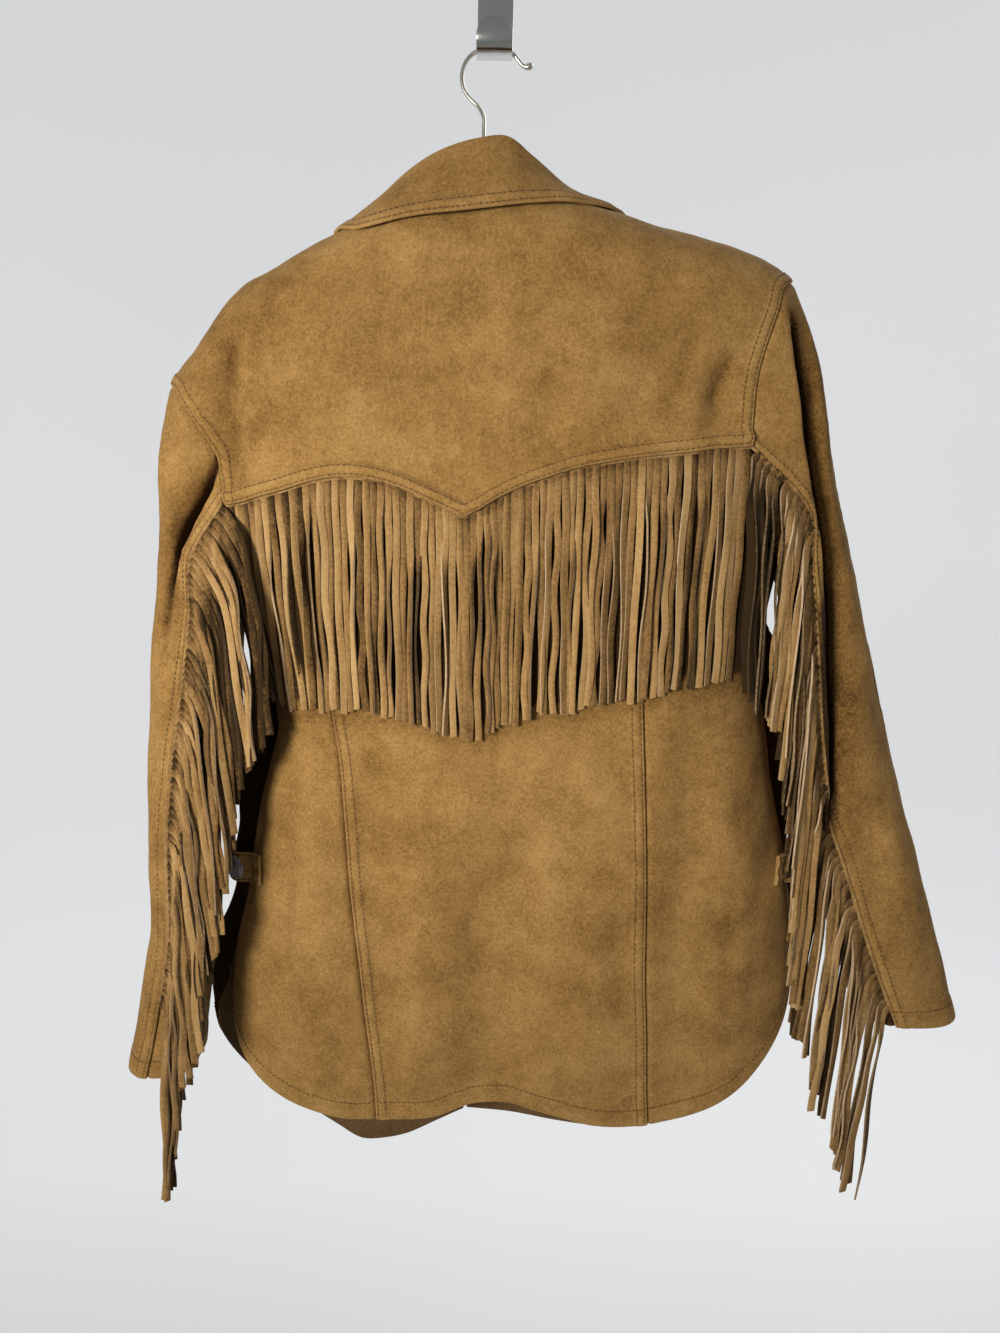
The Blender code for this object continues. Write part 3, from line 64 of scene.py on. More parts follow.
# Side edges of the body: height, x of the left edge, x of the right edge. Above the armpits the edges are
# those that the body would have if the armholes were filled.
SIDES = [
    (-180, -262, 258), (-266, -266, 262), (-330, -268, 268), (-385, -266, 268),
    (-440, -250, 262), (-490, -228, 250), (-545, -206, 241), (-600, -183, 242),
    (-640, -177, 249), (-690, -187, 259), (-745, -199, 272), (-800, -207, 283),
    (-850, -219, 288), (-900, -223, 290), (-960, -222, 286), (-1090, -222, 286),
]
# Depth of the body behind and before the seam plane: height, back, front.
DEPTHS = [
    (-180, 50, 20), (-300, 62, 22), (-420, 70, 23), (-520, 70, 24), (-620, 66, 24),
    (-720, 62, 24), (-820, 56, 23), (-920, 48, 22), (-1020, 41, 21), (-1090, 38, 20),
]
# How far the fronts belly out beyond the side seams: height, left, right.
BELLY = [
    (-500, 0, 0), (-540, 0, 0), (-565, 4, 6), (-595, 15, 12), (-640, 29, 14), (-695, 29, 16), (-728, 14, 12),
    (-742, 5, 4), (-752, 2, 0), (-776, 2, 0), (-790, 2, 5), (-812, 7, 7), (-850, 12, 8), (-945, 11, 8),
    (-1000, 7, 4), (-1090, 0, 0),
]
BELLY_AT = 0.1  # the belly is full this far round from the side seam, as a share of w, and gone at BELLY_TO
BELLY_TO = 0.36
# The shoulder ridge, from the left shoulder's tip to the right one's, over the open neck.
RIDGE = [
    (-266, -363), (-262, -358.6), (-257, -350), (-240, -329), (-226, -310.5), (-209, -289.5),
    (-199, -279.5), (-179, -268), (-154, -254), (-130, -241.5), (-100, -225), (-70, -211),
    (-40, -203), (-8, -200), (30, -200.5), (60, -205), (80, -211), (104, -218), (137, -226.5),
    (170, -234), (203, -243.5), (224, -250.5), (236, -257), (246.5, -266.5), (252, -274),
]
TIP_L, TIP_R = (-262.0, -358.6), (246.5, -266.5)
NECK_L, NECK_R = (-88.0, -219.2), (72.0, -208.4)
PIT_L, PIT_R = (-206.0, -545.0), (250.0, -490.0)
YOKE_L, YOKE_R = (-206.0, -453.5), (210.3, -398.5)
SIDE_L, SIDE_R = (-220.8, -868.0), (287.6, -837.0)

NECK_BACK = [
    NECK_L, (-76, -219.5), (-58, -218), (-36, -216), (-8, -214), (18, -212.5), (42, -211), (60, -210),
    NECK_R,
]
ARM_BACK_L = [
    TIP_L, (-248.6, -366), (-244.2, -372.5), (-233.4, -388), (-222.6, -402.5), (-214.6, -416),
    (-211.5, -430), YOKE_L,
]
ARM_LOW_L = [YOKE_L, (-204.5, -480), (-206, -520), PIT_L]
ARM_BACK_R = [
    TIP_R, (233, -276.5), (227.9, -294.1), (220.2, -317.6), (214.2, -339.5), (211.9, -359.7),
    (211.4, -381.9), YOKE_R,
]
ARM_LOW_R = [YOKE_R, (212, -422), (219, -450), (233, -475), PIT_R]
ARM_FRONT_L = [TIP_L, (-252, -374), (-236, -396), (-222, -424), (-213, -460), (-208, -505), PIT_L]
ARM_FRONT_R = [TIP_R, (236, -285), (224, -315), (217, -350), (215, -390), (219, -430), (232, -468), PIT_R]
# The yoke's lower edge, in two sweeps that meet in a point at the middle of the back.
V_POINT = (-14.4, -458.5)
YOKE_SWEEP_L = [
    YOKE_L, (-193.6, -451.5), (-178.6, -446.8), (-157.9, -441), (-137.4, -434.4), (-116.9, -430.3),
    (-103.9, -429.7), (-83.5, -432), (-64.9, -437), (-46.2, -444.5), (-27.5, -452.7), V_POINT,
]
YOKE_SWEEP_R = [
    V_POINT, (-5.1, -453.6), (12.9, -442.5), (35.1, -432), (54, -425), (72.8, -419), (101.1, -412.8),
    (129.4, -408.4), (157.6, -405), (185.8, -401.5), YOKE_R,
]
# The two seams down the back, from under the yoke to the hem.
PRINCESS_L = [
    (-129, -432.5), (-125.5, -560), (-122.6, -622), (-117.1, -660), (-113, -712), (-108.8, -780),
    (-101.9, -850), (-96.3, -910), (-90.7, -959), (-87, -1005.6),
]
PRINCESS_R = [
    (128, -408.6), (131, -520), (134.2, -606), (139.7, -680), (145, -756), (150.5, -867), (154, -908),
    (158, -971), (160.9, -1005.4),
]
HEM_BACK_L = [
    SIDE_L, (-221.3, -900), (-215, -936), (-203, -962), (-186, -980), (-168, -991.5), (-146.6, -1000),
    (-118, -1006.8), PRINCESS_L[-1],
]
HEM_BACK_C = [
    PRINCESS_L[-1], (-51, -1003), (-34.5, -1000), (-17.7, -993), (-1.6, -986.5), (15.5, -984.3),
    (31.7, -984), (53.6, -990), (81.8, -997.6), (111, -1005.5), (135.6, -1007.2), PRINCESS_R[-1],
]
HEM_BACK_R = [
    PRINCESS_R[-1], (192.2, -998.7), (218, -988.5), (241, -973), (263, -948), (280, -915), (287.5, -880),
    SIDE_R,
]
CENTRE_X = -8.0  # the fronts meet here, FRONT_SPLIT off it on each side
FRONT_SPLIT = 1.5
CLOSE_L, CLOSE_R = CENTRE_X - FRONT_SPLIT, CENTRE_X + FRONT_SPLIT
NECK_FRONT_L = [NECK_L, (-84, -235), (-72, -258), (-50, -279), (-26, -289), (CLOSE_L, -292)]
NECK_FRONT_R = [(CLOSE_R, -292), (10, -287.5), (34, -274), (55, -251), (68, -228), NECK_R]
HEM_FRONT_L = [
    SIDE_L, (-221.5, -905), (-212, -955), (-190, -1003), (-160, -1040), (-128, -1060), (-104, -1069),
    (-82, -1066.5), (-62, -1061), (-40, -1050), (CLOSE_L, -1034),
]
HEM_FRONT_R = [
    (CLOSE_R, -1033), (30, -1036), (80, -1045), (130, -1049), (180, -1041), (225, -1012), (262, -958),
    (284, -895), SIDE_R,
]

# Soft folds of the back: start x, z, end x, z, half width, depth (in is plus).
FOLDS_BACK = [
    (-203, -318, -206, -425, 11, 7.0), (184, -340, 178, -402, 12, 4.5), (150, -300, 118, -372, 22, 2.5),
    (-150, -275, -120, -400, 34, -2.5), (70, -260, 90, -400, 44, -3.0), (-45, -250, -60, -420, 40, 1.8),
    (-148, -640, -152, -985, 26, -4.5), (-96, -660, -78, -985, 22, 5.0), (-25, -650, -40, -1000, 34, -3.5),
    (15, -720, 10, -990, 34, 4.5), (100, -650, 96, -1006, 38, -4.0), (176, -640, 182, -1000, 20, 4.5),
    (222, -640, 232, -985, 22, -4.0), (262, -700, 246, -800, 12, 3.5), (238, -762, 198, -800, 12, 3.0),
    (-192, -700, -196, -960, 12, 3.0),
]
FOLDS_FRONT = [
    (-150, -560, -160, -1030, 34, -4.0), (-80, -620, -70, -1060, 30, 4.0), (70, -640, 66, -1040, 32, -4.0),
    (150, -560, 160, -1030, 36, 3.5), (215, -620, 226, -990, 26, -3.0), (-185, -420, -150, -500, 22, -3.0),
    (180, -380, 150, -470, 22, -3.0),
]

# Sleeve sections below the armhole: z outside, z inside, x outside, x inside, y back, y front.
RINGS_L = [
    (-405, -572, -264.5, -208, -92, -13), (-475, -606, -269.5, -209, -95, -12),
    (-556, -645, -275.5, -217, -98, -12), (-648, -690, -282, -228, -100, -12),
    (-742, -742, -285.5, -234, -101, -12), (-820, -820, -287, -237, -101, -12),
    (-888, -888, -298, -243, -101, -13), (-955, -953, -311, -251, -101, -14),
]
RINGS_R = [
    (-332, -522, 269, 254, -89, -12), (-412, -558, 288.5, 256, -93, -12), (-502, -602, 315, 261, -95, -12),
    (-592, -655, 340, 271, -95, -12), (-680, -714, 365, 287, -95, -12), (-760, -778, 391, 307, -94, -12),
    (-832, -842, 414.5, 329, -93, -12), (-893, -895, 434, 350, -92, -13),
]
# Where the fringed seam runs round each sleeve: at the armhole, then at each section.
SEAM_A_L = [0.27, 0.262, 0.262, 0.262, 0.258, 0.252, 0.250, 0.240, 0.225]
SEAM_A_R = [0.283, 0.284, 0.292, 0.315, 0.338, 0.352, 0.346, 0.335, 0.325]
SEAM_A_FRONT = 0.70  # where the sleeve's other seam runs
# Creases of the sleeves' back face: start x, z, end x, z, half width, depth.
FOLDS_SLEEVE_L = [
    (-214, -428, -252, -497, 9, 9.0), (-252, -497, -258, -540, 10, 4.0), (-283, -600, -262, -700, 13, 3.5),
    (-290, -770, -281, -850, 9, 3.0),
]
FOLDS_SLEEVE_R = [
    (249, -276, 262, -380, 8, 7.0), (262, -380, 283, -480, 9, 11.0), (283, -480, 297, -620, 10, 13.0),
    (297, -620, 299, -672, 10, 4.0), (340, -560, 352, -700, 13, 4.0), (330, -690, 345, -800, 12, 3.0),
]

# The collar, from the left front end round the back to the right front end: the place along it, then x and
# z of its neck edge, x, y and z of its roll, and x, z and the stand off of its free edge. part is -1 behind,
# 1 before and 0 on the ridge.
COLLAR = [
    # s, part, neck x, z, roll x, y, z, edge x, z, off
    (0.00, 1, -10, -290.5, -14, -8.6, -285, -66, -352, 1.2),
    (0.08, 1, -48, -280, -54, -9.5, -266, -97, -318, 1.6),
    (0.18, 1, -76, -253, -85, -16, -238, -121, -272, 1.6),
    (0.27, 0, -88, -219.2, -94, -35, -217, -127, -236, 0.8),
    (0.34, -1, -74, -219, -78, -54, -203, -101, -241.5, 1.8),
    (0.42, -1, -42, -216.3, -46, -64, -182, -60, -234, 4.5),
    (0.50, -1, -8, -214, -9, -67.5, -170.3, -17, -229, 5.5),
    (0.54, -1, 8, -213.1, 10, -67.5, -168.3, 6, -225.6, 5.5),
    (0.60, -1, 30, -211.8, 32, -63, -181, 32, -221.5, 5.0),
    (0.67, -1, 58, -210, 58, -51, -198, 68, -216.8, 2.5),
    (0.73, 0, 72, -208.4, 79, -35, -207, 108, -215.8, 0.8),
    (0.82, 1, 63, -240, 72, -16, -225, 106, -254, 1.6),
    (0.92, 1, 36, -272.5, 42, -9.5, -256, 82, -306, 1.6),
    (1.00, 1, -6, -290.5, -2, -8.6, -285, 50, -341, 1.2),
]

# Finer creases laid on the same forms: start x, z, end x, z, half width, depth (in is plus).
CREASES_BACK = [
    (-198, -324, -202, -373, 6, 5.0), (-201, -373, -198, -426, 7, 5.0), (-174, -386, -193, -436, 7, 3.0),
    (191, -327, 176, -370, 7, 3.8), (163, -313, 137, -380, 10, 2.2), (54, -264, 117, -291, 9, 0.9),
    (-82, -296, -122, -386, 12, 1.2), (-44, -317, -31, -392, 12, 0.9), (56, -315, 47, -398, 12, 0.9),
    (116, -292, 161, -261, 8, 0.9), (-156, -773, -168, -840, 5, 1.6), (-140, -644, -140, -786, 9, -1.6),
    (-160, -645, -159, -787, 8, 1.6), (-92, -653, -71, -691, 8, 1.6), (-5, -764, -3, -876, 14, 1.4),
    (56, -691, 61, -837, 12, -1.3), (119, -779, 127, -910, 11, 1.5), (223, -653, 225, -741, 8, 2.0),
    (180, -725, 224, -752, 5, 1.3), (221, -776, 224, -908, 8, 1.7), (183, -777, 187, -919, 12, -1.2),
    (-48, -729, -59, -954, 12, -1.3), (87, -853, 79, -980, 14, 1.0), (-151, -878, -108, -955, 9, 1.1),
    (241, -644, 235, -723, 7, 1.5), (156, -760, 206, -728, 5, 1.1), (-192, -786, -185, -880, 8, 1.2),
]
CREASES_FRONT = [
    (-170, -330, -140, -430, 12, 4.2), (150, -310, 128, -400, 11, 3.8), (-120, -640, -112, -820, 10, 3.8),
    (110, -600, 104, -800, 11, -3.4), (190, -700, 196, -900, 9, 3.6), (-172, -700, -176, -930, 9, 3.4),
    (60, -720, 72, -980, 12, 2.6), (-60, -760, -52, -960, 12, -2.6), (-150, -590, -80, -622, 7, 2.6),
    (210, -560, 150, -600, 7, 2.6), (-196, -420, -150, -520, 10, 3.4), (205, -400, 160, -480, 9, 3.0),
    (84, -340, 60, -520, 14, -2.2), (-90, -450, -70, -600, 13, 2.4),
]
CREASES_SLEEVE_L = [
    (-248, -470, -266, -560, 8, 2.0), (-272, -640, -270, -730, 7, 1.6), (-262, -800, -258, -880, 7, 1.4),
    (-296, -860, -284, -930, 7, 1.6), (-240, -600, -262, -640, 6, 1.2),
]
CREASES_SLEEVE_R = [
    (356, -640, 372, -760, 8, 1.6), (380, -720, 396, -850, 8, 1.4), (330, -600, 352, -640, 6, 1.3),
    (392, -800, 408, -880, 7, 1.4), (322, -470, 340, -560, 7, -1.2),
]
# The line where the sleeve turns in on itself, top to bottom: x, z, depth of the cleft, step down beyond it.
CLEFT_R = [
    (238, -290, 3.0, 0.0), (240.5, -312, 13.0, 6.0), (248, -351, 18.0, 12.0), (255, -391, 20.0, 15.0),
    (264, -431, 22.0, 17.0), (272, -462, 24.0, 18.0), (282, -519, 24.0, 18.0), (288, -590, 22.0, 16.0),
    (294, -653, 18.0, 10.0), (300, -720, 6.0, 3.0), (306, -780, 0.0, 0.0),
]
CLEFT_L = [
    (-209, -416, 4.0, 0.0), (-221, -443, 14.0, 4.0), (-234, -466, 17.0, 6.0), (-245, -491, 15.0, 6.0),
    (-251, -523, 9.0, 4.0), (-254, -560, 3.0, 1.0), (-256, -590, 0.0, 0.0),
]


def swell(z, at, wide, by):
    """A rise of one height about one place."""
    return by * math.exp(-(((z - at) / wide) ** 2))


# In cloth the fronts belly a little further beside the back than in their solids, and the left front's hem
# stays behind the back's near the side seam.
BELLY = [
    (z, left + swell(z, -890, 85, 19) + swell(z, -762, 42, 21) + swell(z, -650, 50, 14),
     right + swell(z, -588, 45, 21) + swell(z, -700, 50, 10) + swell(z, -790, 60, 8))
    for z, left, right in BELLY
]
HEM_FRONT_L = [(x, z + swell(x, -150, 30, 12)) for x, z in HEM_FRONT_L]


# ---------------------------------------------------------------- curves
def tangents(gaps, rows):
    """The slope at each knot of a smooth run through rows of values, from the gaps between its knots."""
    slope = np.diff(rows, axis=0) / gaps
    tangent = np.empty_like(rows)
    tangent[0], tangent[-1] = slope[0], slope[-1]
    tangent[1:-1] = (gaps[1:] * slope[:-1] + gaps[:-1] * slope[1:]) / (gaps[1:] + gaps[:-1])
    return tangent


def between(u, h, start, start_slope, end, end_slope):
    """Smooth values at the share u of a gap h between two knots."""
    u2, u3 = u * u, u * u * u
    first = (2 * u3 - 3 * u2 + 1) * start + (u3 - 2 * u2 + u) * h * start_slope
    return first + ((3 * u2 - 2 * u3) * end + (u3 - u2) * h * end_slope)


def hermite(knots, values, at):
    """Smooth values at the places asked, through a row of values at the knots."""
    knots, values, at = np.asarray(knots, float), np.asarray(values, float), np.asarray(at, float)
    flat = values.reshape(len(knots), -1)
    gaps = np.diff(knots)[:, None]
    slopes = tangents(gaps, flat)
    q = np.clip(at.ravel(), knots[0], knots[-1])
    i = np.clip(np.searchsorted(knots, q) - 1, 0, len(gaps) - 1)
    h = gaps[i]
    u = ((q - knots[i])[:, None]) / h
    found = between(u, h, flat[i], slopes[i], flat[i + 1], slopes[i + 1])
    return found.reshape(at.shape + values.shape[1:])


def run_along(points):
    """The distance along a line to each of its points."""
    return np.concatenate([[0], np.cumsum(np.linalg.norm(np.diff(points, axis=0), axis=1))])


def read_at(places, run, rows):
    """Rows of numbers known along a run, read at other places on it."""
    return np.stack([np.interp(places, run, rows[:, k]) for k in range(rows.shape[1])], -1)


def curve(points):
    """A smooth line through points, as a function of 0..1 of its length."""
    p = np.array(points, float)
    knots = run_along(p)
    fine = hermite(knots, p, np.linspace(0, knots[-1], 24 * len(p)))
    run = run_along(fine)
    run /= run[-1]
    return lambda s: read_at(s, run, fine)


def end_to_end(a, b, at):
    """One function of 0..1 from two, the second from the place asked."""

    def line(s):
        s = np.asarray(s, float)
        first, second = a(np.clip(s / at, 0, 1)), b(np.clip((s - at) / (1 - at), 0, 1))
        return np.where((s <= at)[..., None], first, second)

    return line


def joined(first, second, at):
    return end_to_end(curve(first), curve(second), at)


def joined3(first, second, third, at, to):
    return end_to_end(joined(first, second, at / to), curve(third), to)


def smoothstep(v):
    v = np.clip(v, 0, 1)
    return v * v * (3 - 2 * v)


def folds(x, z, rows):
    """Depth of the soft folds at a place: each is a trough with tapered ends along its line."""
    total = np.zeros_like(x)
    for x0, z0, x1, z1, width, depth in rows:
        length2 = (x1 - x0) ** 2 + (z1 - z0) ** 2
        along = ((x - x0) * (x1 - x0) + (z - z0) * (z1 - z0)) / length2
        k = np.clip(along, 0, 1)
        off2 = (x - x0 - k * (x1 - x0)) ** 2 + (z - z0 - k * (z1 - z0)) ** 2
        tapered = smoothstep((along + 0.15) / 0.4) * smoothstep((1.15 - along) / 0.4)
        total += depth * np.exp(-off2 / width**2) * tapered
    return total


# ---------------------------------------------------------------- the body's form
# QUARTER_OUT, QUARTER_DEEP and QUARTER_RUN are a quarter of the section: how far out and how deep it is, and
# the share of the cloth's length to there.
SLIM = 0.28  # a quarter's depth to its width, near enough


def squarer(v, n):
    """Sines or cosines for a section squarer than an ellipse."""
    return np.sign(v) * np.abs(v) ** (2 / n)


def run_share(a, b):
    """The share of a line's length to each of its points, from its steps one way and the other."""
    run = np.concatenate([[0], np.cumsum(np.hypot(a, b))])
    return run / run[-1]


quarter_turn = np.linspace(0, math.pi / 2, 600)
QUARTER_OUT, QUARTER_DEEP = squarer(np.sin(quarter_turn), BODY_N), squarer(np.cos(quarter_turn), BODY_N)
QUARTER_RUN = run_share(np.diff(QUARTER_OUT), SLIM * np.diff(QUARTER_DEEP))
SIDE_ROWS, DEPTH_ROWS, BELLY_ROWS = [np.array(rows, float)[::-1] for rows in (SIDES, DEPTHS, BELLY)]
RIDGE_ROWS = np.array(RIDGE, float)


def sides(z):
    """The middle and the half width of the body at a height."""
    edges = hermite(SIDE_ROWS[:, 0], SIDE_ROWS[:, 1:], z)
    return (edges[..., 0] + edges[..., 1]) / 2, (edges[..., 1] - edges[..., 0]) / 2


def ridge(x):
    return hermite(RIDGE_ROWS[:, 0], RIDGE_ROWS[:, 1], x)


def to_w(points):
    """(x, z) on the body as (w, z), w from -1 at the left side seam to 1 at the right one."""
    x, z = points[..., 0], points[..., 1]
    middle, half = sides(z)
    xi = np.clip((x - middle) / half, -1, 1)
    return np.stack([np.sign(xi) * np.interp(np.abs(xi), QUARTER_OUT, QUARTER_RUN), z], -1)


def body(w, z, front=False):
    """The middle surface of the body's back or front."""
    middle, half = sides(z)
    x = middle + half * np.sign(w) * np.interp(np.abs(w), QUARTER_RUN, QUARTER_OUT)
    round_in = np.interp(np.abs(w), QUARTER_RUN, QUARTER_DEEP)
    below = np.clip((ridge(x) - z) / RIDGE_R, 0, 1)
    arch = np.sqrt(np.clip(1 - (1 - below) ** 2, 0, 1))
    depth = hermite(DEPTH_ROWS[:, 0], DEPTH_ROWS[:, 1:], z)
    share = round_in * arch
    if front:
        y = SEAM_Y + SEAM_HALF + depth[..., 1] * share - folds(x, z, FOLDS_FRONT + CREASES_FRONT) * share
        out = hermite(BELLY_ROWS[:, 0], BELLY_ROWS[:, 1:], z)
        from_seam = 1 - np.abs(w)
        full = np.sin(np.clip(from_seam / BELLY_AT, 0, 1) * math.pi / 2)
        full *= smoothstep((BELLY_TO - from_seam) / (BELLY_TO - BELLY_AT))
        x = x + np.where(w < 0, -out[..., 0], out[..., 1]) * full
    else:
        y = SEAM_Y - SEAM_HALF - depth[..., 0] * share + folds(x, z, FOLDS_BACK + CREASES_BACK) * share
    return np.stack([x, y, z], -1)


def patch(top, bottom, left, right, front=False):
    """The middle surface of a panel between four edges given as (x, z)."""
    corner = {(i, j): to_w((top if j == 0 else bottom)(np.array(float(i)))) for i in (0, 1) for j in (0, 1)}

    def surface(s, t):
        a, b, c, d = to_w(top(s)), to_w(bottom(s)), to_w(left(t)), to_w(right(t))
        s1, t1 = s[..., None], t[..., None]
        q = (1 - t1) * a + t1 * b + (1 - s1) * c + s1 * d
        q -= (1 - s1) * ((1 - t1) * corner[0, 0] + t1 * corner[0, 1])
        q -= s1 * ((1 - t1) * corner[1, 0] + t1 * corner[1, 1])
        return body(q[..., 0], q[..., 1], front)

    return surface


def clear_of_body(p, by):
    """Moves a piece that lies over the body out to a form that stands off it by one distance all over."""
    q = to_w(np.stack([p[..., 0], p[..., 2]], -1))
    round_in = np.interp(np.abs(q[..., 0]), QUARTER_RUN, QUARTER_DEEP)
    below = np.clip((ridge(p[..., 0]) + by - p[..., 2]) / (RIDGE_R + by), 0, 1)
    arch = np.sqrt(np.clip(1 - (1 - below) ** 2, 0, 1))
    depth = hermite(DEPTH_ROWS[:, 0], DEPTH_ROWS[:, 1:], p[..., 2]) + np.asarray(by)[..., None]
    behind = p[..., 1] < SEAM_Y
    need = np.where(behind, depth[..., 0], depth[..., 1]) * round_in * arch
    off = np.maximum(np.abs(p[..., 1] - SEAM_Y), need)
    return np.stack([p[..., 0], np.where(behind, SEAM_Y - off, SEAM_Y + off), p[..., 2]], -1)


# ---------------------------------------------------------------- the sleeves' form
ring_turn = np.linspace(0, 2 * math.pi, 1201)
RING_OUT, RING_DEEP = squarer(np.cos(ring_turn), SLEEVE_N), squarer(np.sin(ring_turn), SLEEVE_N)
RING_RUN = run_share(np.diff(RING_OUT), np.diff(RING_DEEP))


def across_body(q, is_front):
    """The body's normals at rows of (w, z), facing away from the seam plane."""
    dw = body(q[:, 0] + 1e-3, q[:, 1], is_front) - body(q[:, 0] - 1e-3, q[:, 1], is_front)
    dz = body(q[:, 0], q[:, 1] + 0.05, is_front) - body(q[:, 0], q[:, 1] - 0.05, is_front)
    n = unit(np.cross(dw, dz))
    n[n[:, 1] * (1 if is_front else -1) < 0] *= -1
    return n


def armhole_loop(back_high, back_low, front):
    """The armhole's edge as a function of a: 0 at the shoulder's tip, 0.5 at the armpit, the back first."""
    loop = []
    for lines, is_front in (((back_high, back_low), False), ((front,), True)):
        flat = np.concatenate([curve(line)(np.linspace(0, 1, 120)) for line in lines])
        q = to_w(flat)
        p = body(q[:, 0], q[:, 1], is_front)
        run = np.concatenate([[0], np.cumsum(np.linalg.norm(np.diff(p, axis=0), axis=1) + 1e-9)])
        a = run / run[-1] / 2
        # Low down, where the sleeve folds back over the body, its edge lies on the body's wall.
        n = across_body(q, is_front)
        n[-1] = (-1.0 if p[-1, 0] < 0 else 1.0, 0, 0)
        n[-2] = n[-1]
        p = p + n * (ARM_LIFT * smoothstep((a - 0.24) / 0.08))[:, None]
        loop.append((a, p))
    a = np.concatenate([loop[0][0], 1 - loop[1][0][::-1]])
    p = np.concatenate([loop[0][1], loop[1][1][::-1]])
    return a, p


def sleeve(loop, rings, creases, outward):
    """The sleeve's middle surface as a function of t, 0 at the armhole and 1 at the cuff, and a round it."""
    loop_a, loop_p = loop
    steps = [0.0]
    last = (np.mean(loop_p[:, 0]), np.mean(loop_p[:, 2]))
    for z_out, z_in, x_out, x_in, _, _ in rings:
        here = ((x_out + x_in) / 2, (z_out + z_in) / 2)
        steps.append(steps[-1] + math.hypot(here[0] - last[0], here[1] - last[1]))
        last = here
    knots = np.array(steps) / steps[-1]

    def surface(t, a):
        t, a = np.broadcast_arrays(np.asarray(t, float), np.asarray(a, float))
        turn = np.mod(a, 1.0)
        c, s = np.interp(turn, RING_RUN, RING_OUT), np.interp(turn, RING_RUN, RING_DEEP)
        sections = [read_at(turn, loop_a, loop_p)]
        for z_out, z_in, x_out, x_in, y_back, y_front in rings:
            sections.append(np.stack([
                (x_out + x_in) / 2 + (x_out - x_in) / 2 * c,
                (y_back + y_front) / 2 + (y_back - y_front) / 2 * s,
                (z_out + z_in) / 2 + (z_out - z_in) / 2 * c,
            ], -1))
        sections = np.array(sections)
        gaps = np.diff(knots)
        slopes = tangents(gaps.reshape((-1,) + (1,) * (sections.ndim - 1)), sections)
        i = np.clip(np.searchsorted(knots, t) - 1, 0, len(gaps) - 1)
        h = gaps[i]
        u = (t - knots[i]) / h

        def pick(table, at):
            return np.take_along_axis(table, at[None, ..., None].repeat(3, -1), 0)[0]

        ends = [pick(table, at) for at in (i, i + 1) for table in (sections, slopes)]
        p = between(u[..., None], h[..., None], *ends)
        # The head of the sleeve stands a little proud of the armhole.
        p[..., 0] += outward * 1.5 * np.sin(np.clip(t * 6, 0, 1) * math.pi) * np.clip(c, 0, 1)
        p[..., 1] += folds(p[..., 0], p[..., 2], creases) * smoothstep(s * 2) * smoothstep(t * 30)
        return p

    return surface, knots


# ---------------------------------------------------------------- noise in code
def ripple(p, wavelength, seed):
    """Soft unevenness between about -1 and 1: waves in eight directions."""
    draw = np.random.default_rng(seed)
    total = np.zeros(p.shape[:-1])
    for _ in range(8):
        way = draw.normal(size=3)
        way /= np.linalg.norm(way)
        way = way * draw.uniform(0.6, 1.5)
        total += np.sin(p @ way * (2 * math.pi / wavelength) + draw.uniform(0, 2 * math.pi))
    return total / 2.83


def unit(v):
    return v / np.maximum(np.linalg.norm(v, axis=-1, keepdims=True), 1e-12)


# ---------------------------------------------------------------- meshes
def make(name, points, quads, materials, triangles=None, which=None, sharp=50, tone=None):
    """One object from points in millimetres; which gives each face's material, tone each point's shade."""
    quads = np.asarray(quads, np.int32).reshape(-1, 4)
    triangles = np.asarray([] if triangles is None else triangles, np.int32).reshape(-1, 3)
    corners = np.concatenate([quads.ravel(), triangles.ravel()])
    starts = np.concatenate([np.arange(len(quads)) * 4, len(quads) * 4 + np.arange(len(triangles)) * 3])
    totals = np.concatenate([np.full(len(quads), 4), np.full(len(triangles), 3)])
    mesh = bpy.data.meshes.new(name)
    mesh.vertices.add(len(points))
    mesh.vertices.foreach_set("co", (np.asarray(points, np.float64) * MM).astype(np.float32).ravel())
    mesh.loops.add(len(corners))
    mesh.loops.foreach_set("vertex_index", corners.astype(np.int32))
    mesh.polygons.add(len(starts))
    mesh.polygons.foreach_set("loop_start", starts.astype(np.int32))
    mesh.polygons.foreach_set("loop_total", totals.astype(np.int32))
    if which is not None:
        mesh.polygons.foreach_set("material_index", np.asarray(which, np.int32))
    mesh.update(calc_edges=True)
    mesh.validate()
    for material in materials:
        mesh.materials.append(material)
    mesh.shade_smooth()
    mesh.set_sharp_from_angle(angle=math.radians(sharp))
    layer = mesh.attributes.new("tone", "FLOAT", "POINT")
    if tone is not None:
        layer.data.foreach_set("value", np.asarray(tone, np.float32).ravel())
    obj = bpy.data.objects.new(name, mesh)
    bpy.context.scene.collection.objects.link(obj)
    return obj


def ring_quads(rings, around):
    """The faces between rings of points that follow each other."""
    edges = [(k, (k + 1) % around) for k in range(around)]
    starts = [i * around for i in range(rings - 1)]
    return [[low + k, low + m, low + around + m, low + around + k] for low in starts for k, m in edges]


def outward_volume(points, quads, caps=None):
    """Whether a closed body's faces look outward."""
    volume = 0.0
    for faces in [quads[:, :3], quads[:, [0, 2, 3]]] + ([] if caps is None else [caps]):
        a, b, c = points[faces].transpose(1, 0, 2)
        volume += np.einsum("ij,ij->", a, np.cross(b, c))
    return volume > 0


def stations(length, near, far, count):
    """Places along a line: fixed distances from both ends, and even steps between them."""
    near, far = np.asarray(near, float), np.asarray(far, float)
    room = 0.44 * length
    near = near * min(1.0, room / max(near[-1], 1e-6))
    far = far * min(1.0, room / max(far[-1], 1e-6))
    middle = np.linspace(near[-1], length - far[-1], count + 2)[1:-1]
    return np.concatenate([near, middle, (length - far)[::-1]])


FINE = 181  # points each way in the grid that a panel's edges are measured on


